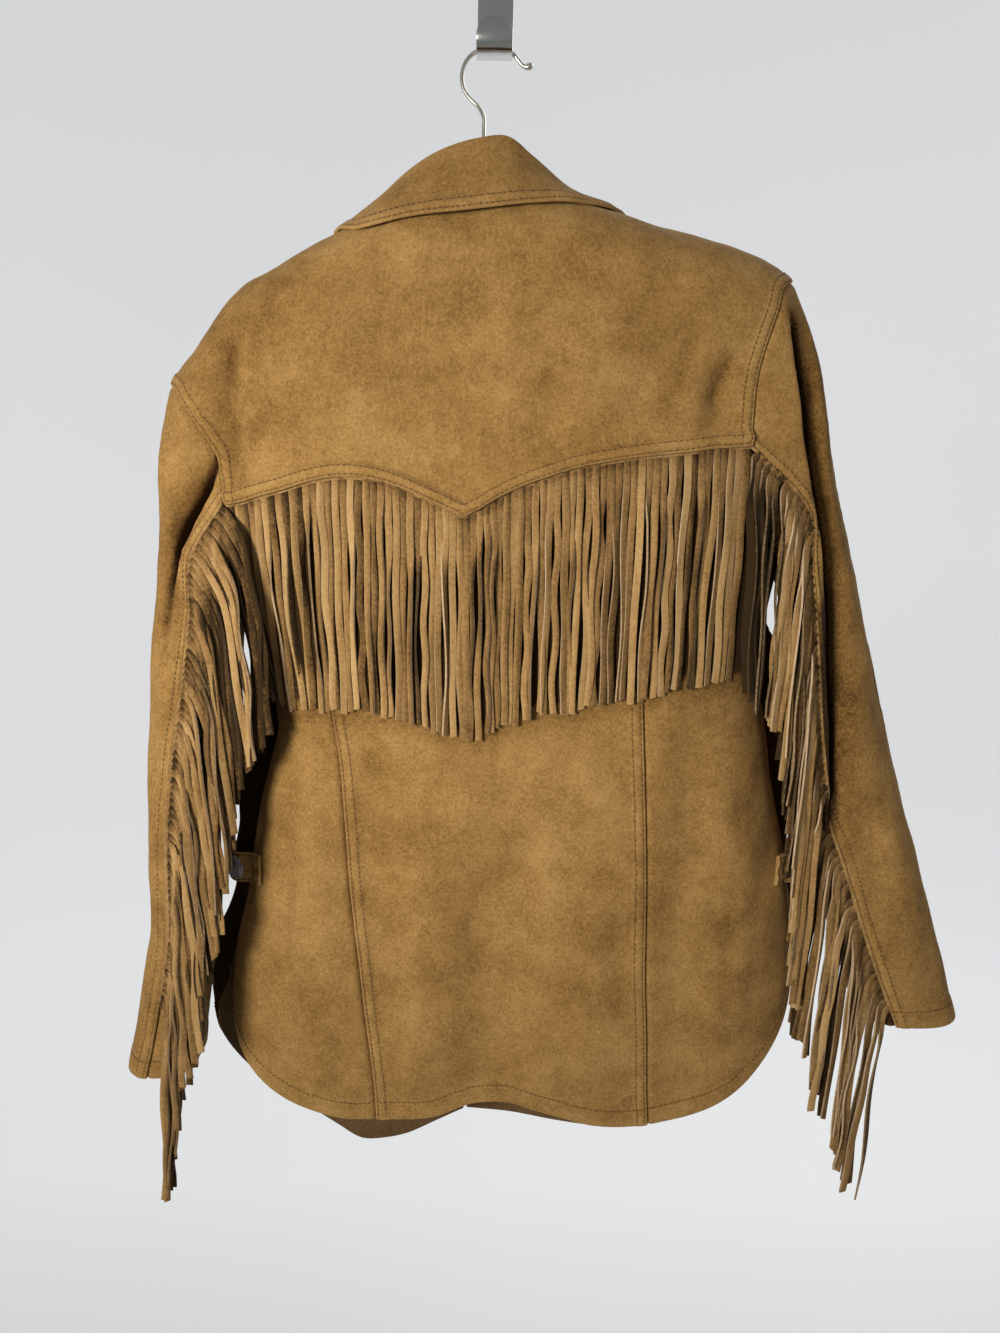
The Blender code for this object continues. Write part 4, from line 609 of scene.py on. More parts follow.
def run_over(grid):
    """The distance down each column of a grid of points."""
    steps = np.linalg.norm(np.diff(grid, axis=0), axis=2)
    return np.concatenate([np.zeros((1, grid.shape[1])), np.cumsum(steps, 0)])


def lay(surface, near_s, far_s, count_s, near_t, far_t, count_t):
    """The s and t of a grid whose lines run at fixed distances from the panel's edges."""
    fine = (1 - np.cos(np.linspace(0, math.pi, FINE))) / 2
    s, t = np.meshgrid(fine, fine, indexing="ij")
    p = surface(s, t)
    table = []
    for axis, near, far, count in ((0, near_s, far_s, count_s), (1, near_t, far_t, count_t)):
        q = p if axis == 0 else p.transpose(1, 0, 2)
        run = run_over(q)
        table.append(np.stack([
            np.interp(stations(run[-1, j], near, far, count), run[:, j], fine) for j in range(FINE)
        ], 1))
    places_s, places_t = table

    def look(places, at):
        u = np.arccos(np.clip(1 - 2 * at, -1, 1)) / math.pi * (FINE - 1)
        low = np.clip(u.astype(int), 0, FINE - 2)
        row = np.arange(places.shape[0])[:, None]
        return places[row, low] * (1 - (u - low)) + places[row, low + 1] * (u - low)

    grid_s = np.repeat(places_s[:, [FINE // 2]], places_t.shape[0], 1)
    grid_t = np.repeat(places_t[:, [FINE // 2]].T, places_s.shape[0], 0)
    for _ in range(7):
        new_s, new_t = look(places_s, grid_t), look(places_t, grid_s.T).T
        grid_s, grid_t = (grid_s + new_s) / 2, (grid_t + new_t) / 2
    return grid_s, grid_t


def grid_normals(p):
    return unit(np.cross(np.gradient(p, axis=0), np.gradient(p, axis=1)))


def runs(p):
    """Distances over the grid from its four edges: s start, s end, t start, t end."""
    s0, t0 = run_over(p), run_over(p.transpose(1, 0, 2)).T
    return s0, s0[-1:] - s0, t0, t0[:, -1:] - t0


# Distances from each kind of edge at which grid lines run, and those of its rows of stitches.
LINES = {
    "welt": [0, 0.35, 0.9, 1.7, 2.4, 3.1, 4.4, 6.4, 8.2, 8.9, 9.5, 10.1, 10.9, 12.2, 15],
    "hem": [0, 0.35, 0.9, 2.0, 4.5, 8.0, 11.5, 14.5, 15.9, 16.5, 17.0, 17.5, 18.3, 20, 24],
    "seam": [0, 0.5, 1.3, 2.6, 5.0],
    "plain": [0, 0.4, 1.2, 3.0],
}
STITCH_AT = {"welt": (2.4, 9.5), "hem": (17.0,), "seam": (), "plain": ()}
LEFT, RIGHT, TOP, BOTTOM = range(4)  # a panel's sides, in the order of its edges
# An edge sewn in under its neighbour goes on this far beneath it (by side: left, right, top, bottom), this
# deep, from this far before the seam.
TUCK, TUCK_DEPTH, TUCK_FROM = (1.3, 1.3, 3.0, 3.0), 1.95, 3.0


def bump_at(d, at, width, high=1.0):
    """A soft ridge at a distance from an edge."""
    return high * np.exp(-(((d - at) / width) ** 2))


def edge_relief(kind, d):
    """How high the cloth stands at a distance from an edge of each kind."""
    if kind == "welt":
        band = 0.95 * smoothstep(d / 0.9) * smoothstep((12.0 - d) / 2.2)
        crown = bump_at(d, 6.0, 2.6, 0.22) * smoothstep(d)
        return band + crown - bump_at(d, 2.4, 0.75, 0.42) - bump_at(d, 9.5, 0.8, 0.45)
    if kind == "hem":
        band = 0.7 * smoothstep(d / 0.9) * smoothstep((19.6 - d) / 2.4)
        return band - bump_at(d, 17.0, 0.9, 0.45) + 0.15 * np.sin(np.clip(d / 17.0, 0, 1) * math.pi)
    return -bump_at(d, 0, 1.3, 0.95) if kind == "seam" else -bump_at(d, 0, 0.5, 0.35)


def edge_tone(kind, d):
    """A turned edge is worn light, and a seam is dark."""
    if kind == "seam":
        return -bump_at(d, 0, 1.1, 0.55)
    return bump_at(d, 0, 0.8, 0.30) + 0.10 * smoothstep((11.5 - d) / 2) if kind in ("welt", "hem") else 0.0


UNEVEN = [(66.0, 0.50), (27.0, 0.20), (11.0, 0.07)]  # the cloth's soft unevenness: wavelength and height


class Panel:
    """A sheet of cloth on a form, with its edges worked: welted, hemmed or sewn in a seam.

    pitch is the grid's, facing gives the way its outside looks, off how far it stands off its form, shade its
    tone, clip the part of the form that it covers, and tuck the sides where it goes on under its neighbour.
    """

    def __init__(self, name, surface, edges, pitch, facing, off=0.0, thick=WALL, seed=1, rough=1.0,
                 shade=None, clip=(0.0, 1.0, 0.0, 1.0), tuck=()):
        s_low, s_high, t_low, t_high = clip

        def inside(s, t):
            return surface(s_low + (s_high - s_low) * s, t_low + (t_high - t_low) * t)

        self.name, self.edges = name, edges
        left, right, top, bottom = edges
        probe = inside(*np.meshgrid(np.linspace(0, 1, 9), np.linspace(0, 1, 9), indexing="ij"))
        longest = [np.linalg.norm(np.diff(probe, axis=axis), axis=2).sum(axis).max() for axis in (0, 1)]
        count_s, count_t = [max(int(length / pitch), 6) for length in longest]
        s, t = lay(inside, LINES[left], LINES[right], count_s, LINES[top], LINES[bottom], count_t)
        p = inside(s, t)
        n = grid_normals(p)
        if np.sum(n * facing(p)) < 0:
            n = -n
        d = runs(p)
        lift = off(s_low + (s_high - s_low) * s, p) if callable(off) else np.full(s.shape, float(off))
        soft = sum(high * ripple(p, long, seed + k) for k, (long, high) in enumerate(UNEVEN))
        lift = lift + rough * soft * smoothstep(np.minimum.reduce(d) / 14.0)
        relief = np.zeros(s.shape)
        tone = np.zeros(s.shape)
        for kind, dist in zip(edges, d):
            relief += edge_relief(kind, dist)
            tone += edge_tone(kind, dist)
            for at in STITCH_AT[kind]:
                # The cloth draws up unevenly beside a line of stitches, and is darker there.
                relief += ripple(p, 9.0, seed + 3) * 0.13 * bump_at(dist, at, 2.6)
                tone -= bump_at(dist, at, 0.7, 0.34)
        if shade is not None:
            tone += shade(p)
        for side in tuck:
            along = unit(np.gradient(p, axis=side // 2)) * (1 if side in (RIGHT, BOTTOM) else -1)
            under = smoothstep((TUCK_FROM - d[side]) / TUCK_FROM)
            p = p + along * (TUCK[side] * under)[..., None]
            lift = lift - TUCK_DEPTH * under
        self.outer = p + n * (lift + thick / 2 + relief)[..., None]
        self.inner = p + n * (lift - thick / 2)[..., None]
        self.n, self.tone = n, tone

    def build(self, materials):
        rows, cols = self.outer.shape[:2]
        at = np.arange(rows * cols).reshape(rows, cols)
        back = at + rows * cols
        a = np.stack([at[:-1, :-1], at[1:, :-1], at[1:, 1:], at[:-1, 1:]], -1).reshape(-1, 4)
        b = np.stack([back[:-1, :-1], back[:-1, 1:], back[1:, 1:], back[1:, :-1]], -1).reshape(-1, 4)
        loop = np.concatenate([at[:, 0], at[-1, 1:], at[-2::-1, -1], at[0, -2:0:-1]])
        after = np.roll(loop, -1)
        rim = np.stack([after, loop, loop + rows * cols, after + rows * cols], -1)
        quads = np.concatenate([a, b, rim])
        points = np.concatenate([self.outer.reshape(-1, 3), self.inner.reshape(-1, 3)])
        if not outward_volume(points, quads):
            quads = quads[:, ::-1]
        which = np.concatenate([np.zeros(len(a), int), np.ones(len(b), int), np.full(len(rim), 2)])
        tone = np.concatenate([self.tone.ravel(), np.zeros(rows * cols)])
        return make(self.name, points, quads, materials, which=which, tone=tone)

    def line(self, side, at):
        """The points and normals of the grid line at a distance from an edge."""
        index = LINES[self.edges[side]].index(at)
        if side in (RIGHT, BOTTOM):
            index = -1 - index
        across = (slice(None), index) if side in (TOP, BOTTOM) else index
        return self.outer[across], self.n[across]


# ---------------------------------------------------------------- stitches
STITCH_LONG, STITCH_R, STITCH_PITCH = 2.9, 0.50, 4.4
STITCH_FROM = 3.0  # a row of stitches starts and ends this far from the panel's corners
# A stitch from end to end: place along it, thickness as a share of its middle's, height over the cloth.
STITCH_FORM = [(-0.5, 0.45, -0.336), (-0.33, 1.0, -0.016), (0.33, 1.0, -0.016), (0.5, 0.45, -0.336)]
THREAD_SIDES = 5


def stitch_places(points, normals):
    """The place, the way along and the normal of each stitch of a row."""
    run = run_along(points)
    count = int((run[-1] - STITCH_FROM - STITCH_FROM) / STITCH_PITCH)
    at = STITCH_FROM + STITCH_PITCH * (np.arange(count) + 0.5)
    place, ahead = read_at(at, run, points), read_at(at + 0.5, run, points)
    return np.stack([place, unit(ahead - place), unit(read_at(at, run, normals))], 1)


def sew(name, rows, thread, seed):
    """Short lengths of thread, each a small rounded bar that dips into the cloth at its ends."""
    rows = np.concatenate(rows)
    draw = np.random.default_rng(seed)
    place, way, n = rows[:, 0], rows[:, 1], rows[:, 2]
    side = unit(np.cross(way, n))
    way = unit(way + side * draw.normal(0, 0.05, (len(rows), 1)))
    side = unit(np.cross(way, n))
    points = []
    for along, size, high in STITCH_FORM:
        for k in range(THREAD_SIDES):
            turn = 2 * math.pi * k / THREAD_SIDES
            points.append(place + way * STITCH_LONG * along + side * STITCH_R * size * math.cos(turn)
                          + n * (high + STITCH_R * size * math.sin(turn)))
    points = np.stack(points, 1)
    base = (np.arange(len(rows)) * points.shape[1])[:, None, None]
    one, side_faces = points[0], ring_quads(len(STITCH_FORM), THREAD_SIDES)
    last = points.shape[1] - THREAD_SIDES
    ends = [[0, k + 1, k] for k in (3, 2, 1)] + [[last, last + k, last + k + 1] for k in (1, 2, 3)]
    quads, caps = (base + np.array(side_faces)).reshape(-1, 4), (base + np.array(ends)).reshape(-1, 3)
    if not outward_volume(one - one.mean(0), np.array(side_faces)):
        quads, caps = quads[:, ::-1], caps[:, ::-1]
    return make(name, points.reshape(-1, 3), quads, [thread], triangles=caps)


# ---------------------------------------------------------------- fringe
def strip_quads(rings):
    """The faces of a four-sided strip with its two ends."""
    return ring_quads(rings, 4) + [[3, 2, 1, 0], [rings * 4 - k for k in (4, 3, 2, 1)]]


def ribbons(name, paths, sides, half_w, half_t, materials, slant, tone, strip=None):
    """Cut strands of suede. paths and sides are strands by rings by 3; half_w strands by rings. The broad
    faces take the first material, the cut edges and ends the second. slant tilts the square cut at each end.
    tone is a shade for each strand and ring. A strand is darker along the edge away from the key light.
    """
    count, rings = paths.shape[:2]
    along = unit(np.gradient(paths, axis=1))
    side = unit(sides - along * np.sum(sides * along, -1, keepdims=True))
    face = unit(np.cross(along, side))
    w, t = side * half_w[..., None], face * half_t
    corners = np.stack([paths - w + t, paths + w + t, paths + w - t, paths - w - t], 2)
    corners[:, -1, [0, 3]] -= along[:, -1, None] * slant[:, None, None]
    corners[:, -1, [1, 2]] += along[:, -1, None] * slant[:, None, None]
    base = (np.arange(count) * rings * 4)[:, None, None]
    quads = (base + np.array(strip_quads(rings))[None]).reshape(-1, 4)
    which = np.tile([0, 1, 0, 1] * (rings - 1) + [1, 1], count)
    points = corners.reshape(-1, 3)
    # Painted shade across each strand: the edge away from the key light is darker, the other lighter.
    key_side_shade = 0.30 * np.sign(side[..., 0])
    shade = (tone[..., None] + np.stack([key_side_shade, -key_side_shade, -key_side_shade, key_side_shade], -1)).ravel()
    if not outward_volume(points, quads):
        quads = quads[:, ::-1]
    if strip is not None:
        extra_points, extra_quads = strip
        extra_quads = np.asarray(extra_quads)
        if not outward_volume(extra_points, extra_quads):
            extra_quads = extra_quads[:, ::-1]
        quads = np.concatenate([quads, extra_quads + len(points)])
        which = np.concatenate([which, np.zeros(len(extra_quads), int)])
        points = np.concatenate([points, extra_points])
        shade = np.concatenate([shade, np.zeros(len(extra_points))])
    return make(name, points, quads, materials, which=which, sharp=40, tone=shade)


def backing(line, across, normal, low, high, inner, outer):
    """The uncut strip that the strands are part of, under the welt."""
    ring = np.stack([
        line + across * low + normal * inner, line + across * low + normal * outer,
        line + across * high + normal * outer, line + across * high + normal * inner,
    ], 1)
    return ring.reshape(-1, 3), strip_quads(len(line))


def wander(draw, count, reach, rows):
    """A value for each strand that changes slowly from one to the next."""
    return np.interp(np.linspace(0, 1, count), np.linspace(0, 1, rows), draw.uniform(-reach, reach, rows))


# Where the back fringe's strands end: x, z.
BACK_ENDS = [
    (-206, -622), (-166, -627), (-113, -621), (-95, -622), (-66, -627), (-51, -631), (-32, -638), (-15, -641),
    (-3, -641), (9, -635), (30, -627), (46, -619), (76, -617), (93, -611), (129, -607), (146, -602),
    (169, -595), (212, -592),
]
STRAND_RINGS = 26
RIBBON_T = 0.75


def back_fringe(materials):
    draw = np.random.default_rng(41)
    count = STRANDS_BACK
    line = YOKE_EDGE(np.linspace(0, 1, 2001))
    q = to_w(line)
    on = body(q[:, 0], q[:, 1])
    out = across_body(q, False)
    run = run_along(on)
    pitch = (run[-1] - 2.0) / count
    middle = 1.0 + pitch * (np.arange(count) + 0.5)
    root = read_at(middle, run, on)
    way = unit(read_at(middle + 1.0, run, on) - root)
    ends = np.array(BACK_ENDS, float)
    long = root[:, 2] - np.interp(root[:, 0], ends[:, 0], ends[:, 1]) + draw.normal(0, 1.7, count)
    share = np.linspace(0, 1, STRAND_RINGS) ** 1.15
    h = long[:, None] * share[None]
    drawn = 24 * np.exp(-(root[:, 0] + 206) / 70) - 3 * np.exp(-(210 - root[:, 0]) / 70)
    sway = wander(draw, count, 2.6, 13) + draw.normal(0, 0.5, count)
    # Some neighbours hang together and leave a dark gap beside them.
    clump = np.zeros(count)
    for k in range(0, count - 1):
        if draw.random() < 0.42:
            clump[k] += 1.9
            clump[k + 1] -= 1.9
    wave, length = draw.uniform(0.4, 1.6, count), draw.uniform(60, 150, count)
    phase = draw.uniform(0, 6.28, count)
    loose = smoothstep(h / 45)
    x = root[:, [0]] + (drawn + sway + clump)[:, None] * share ** 1.2
    x = x + (wave[:, None] * np.sin(h / length[:, None] * 2 * math.pi + phase[:, None])) * loose
    # A third of them are turned part edge-on.
    style = draw.random(count)
    little = draw.uniform(-0.6, 0.6, count)
    far = draw.choice([-1, 1], count) * draw.uniform(0.8, 1.35, count)
    turn = np.where(style < 0.66, little, far)
    start, span = draw.uniform(4, 50, count), draw.uniform(18, 60, count)
    back_at, back_by = draw.uniform(70, 150, count), draw.uniform(-0.2, 1.1, count) * (style > 0.7)
    angle = turn[:, None] * smoothstep((h - start[:, None]) / span[:, None])
    angle = angle * (1 - back_by[:, None] * smoothstep((h - back_at[:, None]) / 45))
    angle = angle + 0.16 * np.sin(h / 38 + phase[:, None] * 3) * loose
    half_w = (pitch * draw.uniform(0.43, 0.49, count))[:, None] * np.ones_like(h)
    over = (np.arange(count) % 2) * 0.9 + draw.uniform(0, 0.9, count)
    clear = 1.75 + (1.0 + over[:, None] + wander(draw, count, 0.8, 11)[:, None]) * smoothstep(h / 28)
    clear = clear + half_w * np.abs(np.sin(angle)) * 0.95
    z = root[:, [2]] + 3.0 - h
    p = np.stack([x, np.full_like(x, -60.0), z], -1)
    p = clear_of_body(p, clear)
    normal = body_normal_at(p)
    along = unit(np.gradient(p, axis=1))
    flat = unit(np.cross(along, normal))
    flat = flat * np.sign(flat[..., [0]])
    # Under the welt a strand lies in line with the yoke's edge.
    blend = smoothstep(h / 16)[..., None]
    flat = unit(way[:, None] * (1 - blend) + flat * blend)
    sides = flat * np.cos(angle)[..., None] + normal * np.sin(angle)[..., None]
    slant = draw.normal(0, 0.55, count)
    up = np.broadcast_to([0.0, 0, 1.0], on[::20].shape)
    strip = backing(on[::20], up, out[::20], -2.0, 5.0, WALL / 2 + GAP, WALL / 2 + GAP + 1.2)
    # Each strand's tone differs at random; painted shade makes the strands that lie deeper, the roots under the welt
    # and the strands turned edge-on darker.
    tone = (draw.normal(0, 0.22, count) + 0.35 * (over - 1.0))[:, None] - 0.55 * np.exp(-((h - 3) / 7) ** 2)
    tone = tone - 0.5 * np.clip(np.abs(angle) - 0.5, 0, 1)
    return ribbons("fringe_back_cut", p, sides, half_w, RIBBON_T, materials, slant, tone, strip)


def body_normal_at(p):
    """The back's outward normals beside points near it."""
    flat = p.reshape(-1, 3)
    return across_body(to_w(flat[:, [0, 2]]), False).reshape(p.shape)


# The height of a strand's root and the x at which the strand hangs.
HANG_L = [(-882, -266), (-747, -236), (-604, -213), (-511, -195), (-464, -172)]
HANG_R = [
    (-882, 338), (-837, 322), (-806, 311), (-776, 302), (-745, 293), (-714, 285), (-683, 279), (-650, 274),
    (-618, 270), (-555, 265), (-491, 259), (-460, 250), (-433, 239), (-412, 221),
]


ROOT_OFF = 1.7  # a strand starts this far off the sleeve's form
BUNDLE = 6.5  # how thick the strands lie on each other


def summed(rate, step):
    """The running total along each strand of a rate known at its rings."""
    total = np.cumsum((rate[:, 1:] + rate[:, :-1]) / 2 * step, 1)
    return np.concatenate([np.zeros((len(rate), 1)), total], 1)


def sleeve_fringe(name, surface, seam, count, hang, toward, t0, t1, materials, seed):
    """Strands that leave the seam across the sleeve, bend over and hang in a loose bundle."""
    draw = np.random.default_rng(seed)
    ts = np.linspace(t0, t1, 3000)
    on = surface(ts, seam(ts))
    e = 1e-3
    across = unit(surface(ts, seam(ts) + e) - surface(ts, seam(ts) - e))
    along = np.gradient(on, axis=0)
    n = unit(np.cross(along, across))
    n[n[:, 1] > 0] *= -1
    across = across * np.sign(across[:, [0]]) * toward
    run = run_along(on)
    pitch = run[-1] / count
    middle = pitch * (np.arange(count) + 0.5)

    def pick(table, at=middle):
        return read_at(at, run, table)

    root, out, over = pick(on), unit(pick(n)), unit(pick(across))
    first = unit(pick(on, middle - 1.5) - pick(on, middle + 1.5))
    table = np.array(sorted(hang), float)
    long = STRAND_LONG + 4.0 + wander(draw, count, 6.0, 17) + draw.normal(0, 2.5, count)
    share = np.linspace(0, 1, STRAND_RINGS) ** 1.55
    u = long[:, None] * share[None]
    lane = np.interp(root[:, 2], table[:, 0], table[:, 1]) + wander(draw, count, 2.5, 23)
    lane = lane + draw.normal(0, 1.8, count) - max(toward, 0) * 2.5
    lane = lane - toward * draw.uniform(0, 15, count) * smoothstep((-700 - root[:, 2]) / 150)
    off = np.maximum((lane - root[:, 0]) * toward, 2.0)
    steep = np.arctan2(-over[:, 2], np.abs(over[:, 0]))
    steep = np.clip(0.5 * steep + draw.normal(0, 0.12, count), -0.3, 0.6)
    top = np.exp(-np.arange(count) / 9)
    eager = draw.uniform(0.32, 0.8, count) * (1 - top) + 0.95 * top
    bend = np.clip(off / (math.pi / 2 - steep) * eager, 5.0, 52.0)
    last = np.full(count, math.pi / 2)
    for _ in range(3):
        angle = last[:, None] - (last - steep)[:, None] * np.exp(-u / bend[:, None])
        step = np.diff(u, axis=1)
        reach = summed(np.cos(angle), step)
        last = np.clip(last - (off - reach[:, -1]) / long, 1.2, 1.8)
    drop = summed(np.sin(angle), step)
    # The edge turns toward the viewer in the bend, and then as each strand pleases.
    edge_on = np.clip(draw.normal(0.62, 0.28, count), 0.1, 1.2)
    later = np.where(draw.random(count) < 0.80, draw.uniform(-0.5, 0.5, count), draw.uniform(0.8, 1.3, count))
    begin = draw.uniform(2, 26, count)
    twist = edge_on[:, None] * smoothstep(u / (bend[:, None] * 1.5 + 6))
    twist = twist + (later - edge_on)[:, None] * smoothstep((u - begin[:, None]) / 42)
    phase = draw.uniform(0, 6.28, count)
    twist = twist + 0.22 * np.sin(u / 30 + phase[:, None]) * smoothstep(u / 60)
    half_w = (pitch * draw.uniform(0.44, 0.50, count))[:, None] * np.ones_like(u)
    layer = draw.uniform(0.0, BUNDLE, count)
    wave, length = draw.uniform(0.5, 2.6, count)[:, None], draw.uniform(11, 24, count)[:, None]
    wave = wave * np.sin(u / length + phase[:, None])
    stand = ROOT_OFF + (2.5 + layer)[:, None] * smoothstep(u / 30) + 3.0 * (u / 180)
    stand = stand + half_w * np.abs(np.sin(twist)) * 0.9
    lift = 6.0 * top[:, None] * smoothstep(u / 30)
    p = root[:, None] + out[:, None] * ROOT_OFF
    level = toward * reach + wave * smoothstep(u / 50) * 0.9
    p = p + np.stack([level, -(stand - ROOT_OFF + lift) + 0.5 * wave * smoothstep(u / 50), -drop], -1)
    ahead = unit(np.gradient(p, axis=1))
    view = np.broadcast_to([0.0, -1.0, 0.0], p.shape)
    view = unit(view - ahead * np.sum(view * ahead, -1, keepdims=True))
    flat = unit(np.cross(ahead, view))
    same = np.sign(np.sum(flat * first[:, None], -1, keepdims=True))
    flat = flat * np.where(same[:, :1] == 0, 1, same[:, :1])
    blend = smoothstep(u / 8)[..., None]
    flat = unit(first[:, None] * (1 - blend) + flat * blend)
    sides = flat * np.cos(twist)[..., None] + view * np.sin(twist)[..., None]
    slant = draw.normal(0, 0.7, count)
    strip = backing(on[::40], across[::40], n[::40], -3.0, 1.2, WALL / 2 + GAP, WALL / 2 + GAP + 1.2)
    # Strands that lie deep in the bundle are in its shadow.
    deep = 2.2 * (layer / BUNDLE - 0.62)[:, None] * smoothstep((u - 8) / 30)
    tone = draw.normal(-0.28, 0.25, count)[:, None] + np.clip(deep, -1.3, 0.3)
    # Painted shadow of the welt on each strand's root.
    tone = tone - 0.5 * np.exp(-((u - 1) / 5) ** 2)
    return ribbons(name, p, sides, half_w, RIBBON_T, materials, slant, tone, strip)


# ---------------------------------------------------------------- materials
def nodes_of(name):
    made = bpy.data.materials.new(name)
    made.use_nodes = True
    tree = made.node_tree
    return made, tree, tree.nodes["Principled BSDF"]


def add_node(tree, kind, **values):
    node = tree.nodes.new(kind)
    for key, value in values.items():
        if key in node.inputs:
            node.inputs[key].default_value = value
        else:
            setattr(node, key, value)
    return node


def noise(tree, place, scale, detail=3.0, rough=0.55, stretch=None):
    source = place
    if stretch is not None:
        mapping = add_node(tree, "ShaderNodeMapping")
        mapping.inputs["Scale"].default_value = stretch
        tree.links.new(place, mapping.inputs["Vector"])
        source = mapping.outputs["Vector"]
    node = add_node(tree, "ShaderNodeTexNoise", Scale=scale, Detail=detail, Roughness=rough)
    tree.links.new(source, node.inputs["Vector"])
    return node.outputs["Fac"]


def math_node(tree, operation, a, b):
    node = add_node(tree, "ShaderNodeMath", operation=operation)
    for socket, value in zip(node.inputs, (a, b)):
        if isinstance(value, (int, float)):
            socket.default_value = value
        else:
            tree.links.new(value, socket)
    return node.outputs["Value"]


def coloured(tree, shader, value, stops, interpolation="LINEAR"):
    """The base colour runs with a value through stops of position and colour."""
    ramp = add_node(tree, "ShaderNodeValToRGB")
    ramp.color_ramp.interpolation = interpolation
    first, last = ramp.color_ramp.elements[0], ramp.color_ramp.elements[-1]
    first.position, last.position = stops[0][0], stops[-1][0]
    first.color, last.color = (*stops[0][1], 1), (*stops[-1][1], 1)
    for position, colour in stops[1:-1]:
        ramp.color_ramp.elements.new(position).color = (*colour, 1)
    tree.links.new(value, ramp.inputs["Fac"])
    tree.links.new(ramp.outputs["Color"], shader.inputs["Base Color"])


def raised_by(tree, shader, height, strength, distance):
    """The surface looks raised by a value, over a distance in metres."""
    raised_node = add_node(tree, "ShaderNodeBump", Strength=strength, Distance=distance)
    tree.links.new(height, raised_node.inputs["Height"])
    tree.links.new(raised_node.outputs["Normal"], shader.inputs["Normal"])


def with_values(shader, **values):
    """Sets a shader's inputs by their names, with _ for a space."""
    for key, value in values.items():
        shader.inputs[key.replace("_", " ")].default_value = value


def suede(name, stops, clouds=1.0, grain=1.0, streak=0.0, bump=0.5, sheen=0.1):
    """Brushed suede: clouds of nap, a fine fibre grain and, on strands, long streaks.

    The mesh's tone makes it lighter or darker: worn edges, dark seams, and painted shade and shadow.
    """
    made, tree, shader = nodes_of(name)
    place = add_node(tree, "ShaderNodeTexCoord").outputs["Object"]
    total = math_node(tree, "MULTIPLY", noise(tree, place, 6.5, 3.0, 0.6), 0.34 * clouds)
    rows = [
        (noise(tree, place, 26.0, 4.0, 0.6), 0.40 * clouds),
        (noise(tree, place, 110.0, 3.0, 0.6), 0.24 * clouds),
        (noise(tree, place, 420.0, 2.0, 0.7), 0.62 * grain),
        (noise(tree, place, 1300.0, 2.0, 0.7), 0.50 * grain),
    ]
    if streak:
        rows.append((noise(tree, place, 175.0, 1.0, 0.5, (1.0, 0.3, 0.035)), streak))
    weight = 0.34 * clouds + sum(row[1] for row in rows)
    for value, amount in rows:
        total = math_node(tree, "ADD", total, math_node(tree, "MULTIPLY", value, amount))
    tone = add_node(tree, "ShaderNodeAttribute", attribute_name="tone")
    total = math_node(tree, "ADD", total, math_node(tree, "MULTIPLY", tone.outputs["Fac"], 0.40))
    total = math_node(tree, "ADD", total, 0.5 - weight / 2)
    coloured(tree, shader, total, stops, "B_SPLINE")
    fuzz, fibre = [math_node(tree, "MULTIPLY", rows[k][0], amount) for k, amount in ((2, 0.7), (3, 0.5))]
    raised_by(tree, shader, math_node(tree, "ADD", fuzz, fibre), bump, 0.0009)
    with_values(shader, Roughness=0.92, Specular_IOR_Level=0.12, Sheen_Weight=sheen, Sheen_Roughness=0.5,
                Sheen_Tint=(0.9, 0.7, 0.45, 1))
    return made


SCRATCH = 0.06  # how much a metal's roughness varies along its fine scratches


def metal(name, colour, rough):
    made, tree, shader = nodes_of(name)
    place = add_node(tree, "ShaderNodeTexCoord").outputs["Object"]
    grain = noise(tree, place, 220.0, 3.0, 0.6, (1.0, 1.0, 0.05))
    with_values(shader, Base_Color=colour, Metallic=1.0)
    spread = math_node(tree, "ADD", math_node(tree, "MULTIPLY", grain, SCRATCH), rough - SCRATCH / 2)
    tree.links.new(spread, shader.inputs["Roughness"])
    raised_by(tree, shader, grain, 0.05, 0.0002)
    return made


def plain(name, low, high, scale, rough, bump, stretch=None):
    made, tree, shader = nodes_of(name)
    place = add_node(tree, "ShaderNodeTexCoord").outputs["Object"]
    grain = noise(tree, place, scale, 4.0, 0.6, stretch)
    coloured(tree, shader, grain, [(0.3, low), (0.7, high)])
    raised_by(tree, shader, grain, bump, 0.0004)
    with_values(shader, Roughness=rough, Specular_IOR_Level=0.4)
    return made


# Each ramp's near-black first stop is reached mostly where the tone holds painted shade.
SUEDE_STOPS = [
    (0.0, (0.012, 0.006, 0.002)), (0.20, (0.120, 0.058, 0.014)), (0.42, (0.255, 0.136, 0.037)),
    (0.58, (0.330, 0.184, 0.056)), (0.80, (0.460, 0.280, 0.100)),
]
FRINGE_STOPS = [
    (0.0, (0.014, 0.008, 0.003)), (0.20, (0.110, 0.058, 0.018)), (0.42, (0.240, 0.134, 0.046)),
    (0.60, (0.345, 0.200, 0.072)), (0.82, (0.470, 0.300, 0.128)),
]
EDGE_STOPS = [
    (0.0, (0.030, 0.018, 0.008)), (0.22, (0.180, 0.112, 0.052)), (0.5, (0.350, 0.236, 0.128)),
    (0.82, (0.560, 0.410, 0.250)),
]
LINING_STOPS = [(0.25, (0.085, 0.048, 0.020)), (0.5, (0.125, 0.072, 0.030)), (0.75, (0.180, 0.108, 0.048))]
SUEDE = suede("suede_nap", SUEDE_STOPS)
SUEDE_CUT = suede("suede_turned_edge", SUEDE_STOPS, grain=0.8)
FLESH = suede("suede_inside", LINING_STOPS, clouds=0.8, sheen=0.05)
STRAND = suede("fringe_suede", FRINGE_STOPS, clouds=0.7, grain=0.9, streak=0.55, bump=0.3)
STRAND_EDGE = suede("fringe_cut_edge", EDGE_STOPS, clouds=0.5, grain=1.0, streak=0.3, bump=0.2, sheen=0.1)
THREAD = plain("thread", (0.060, 0.032, 0.012), (0.120, 0.066, 0.026), 900.0, 0.75, 0.3)
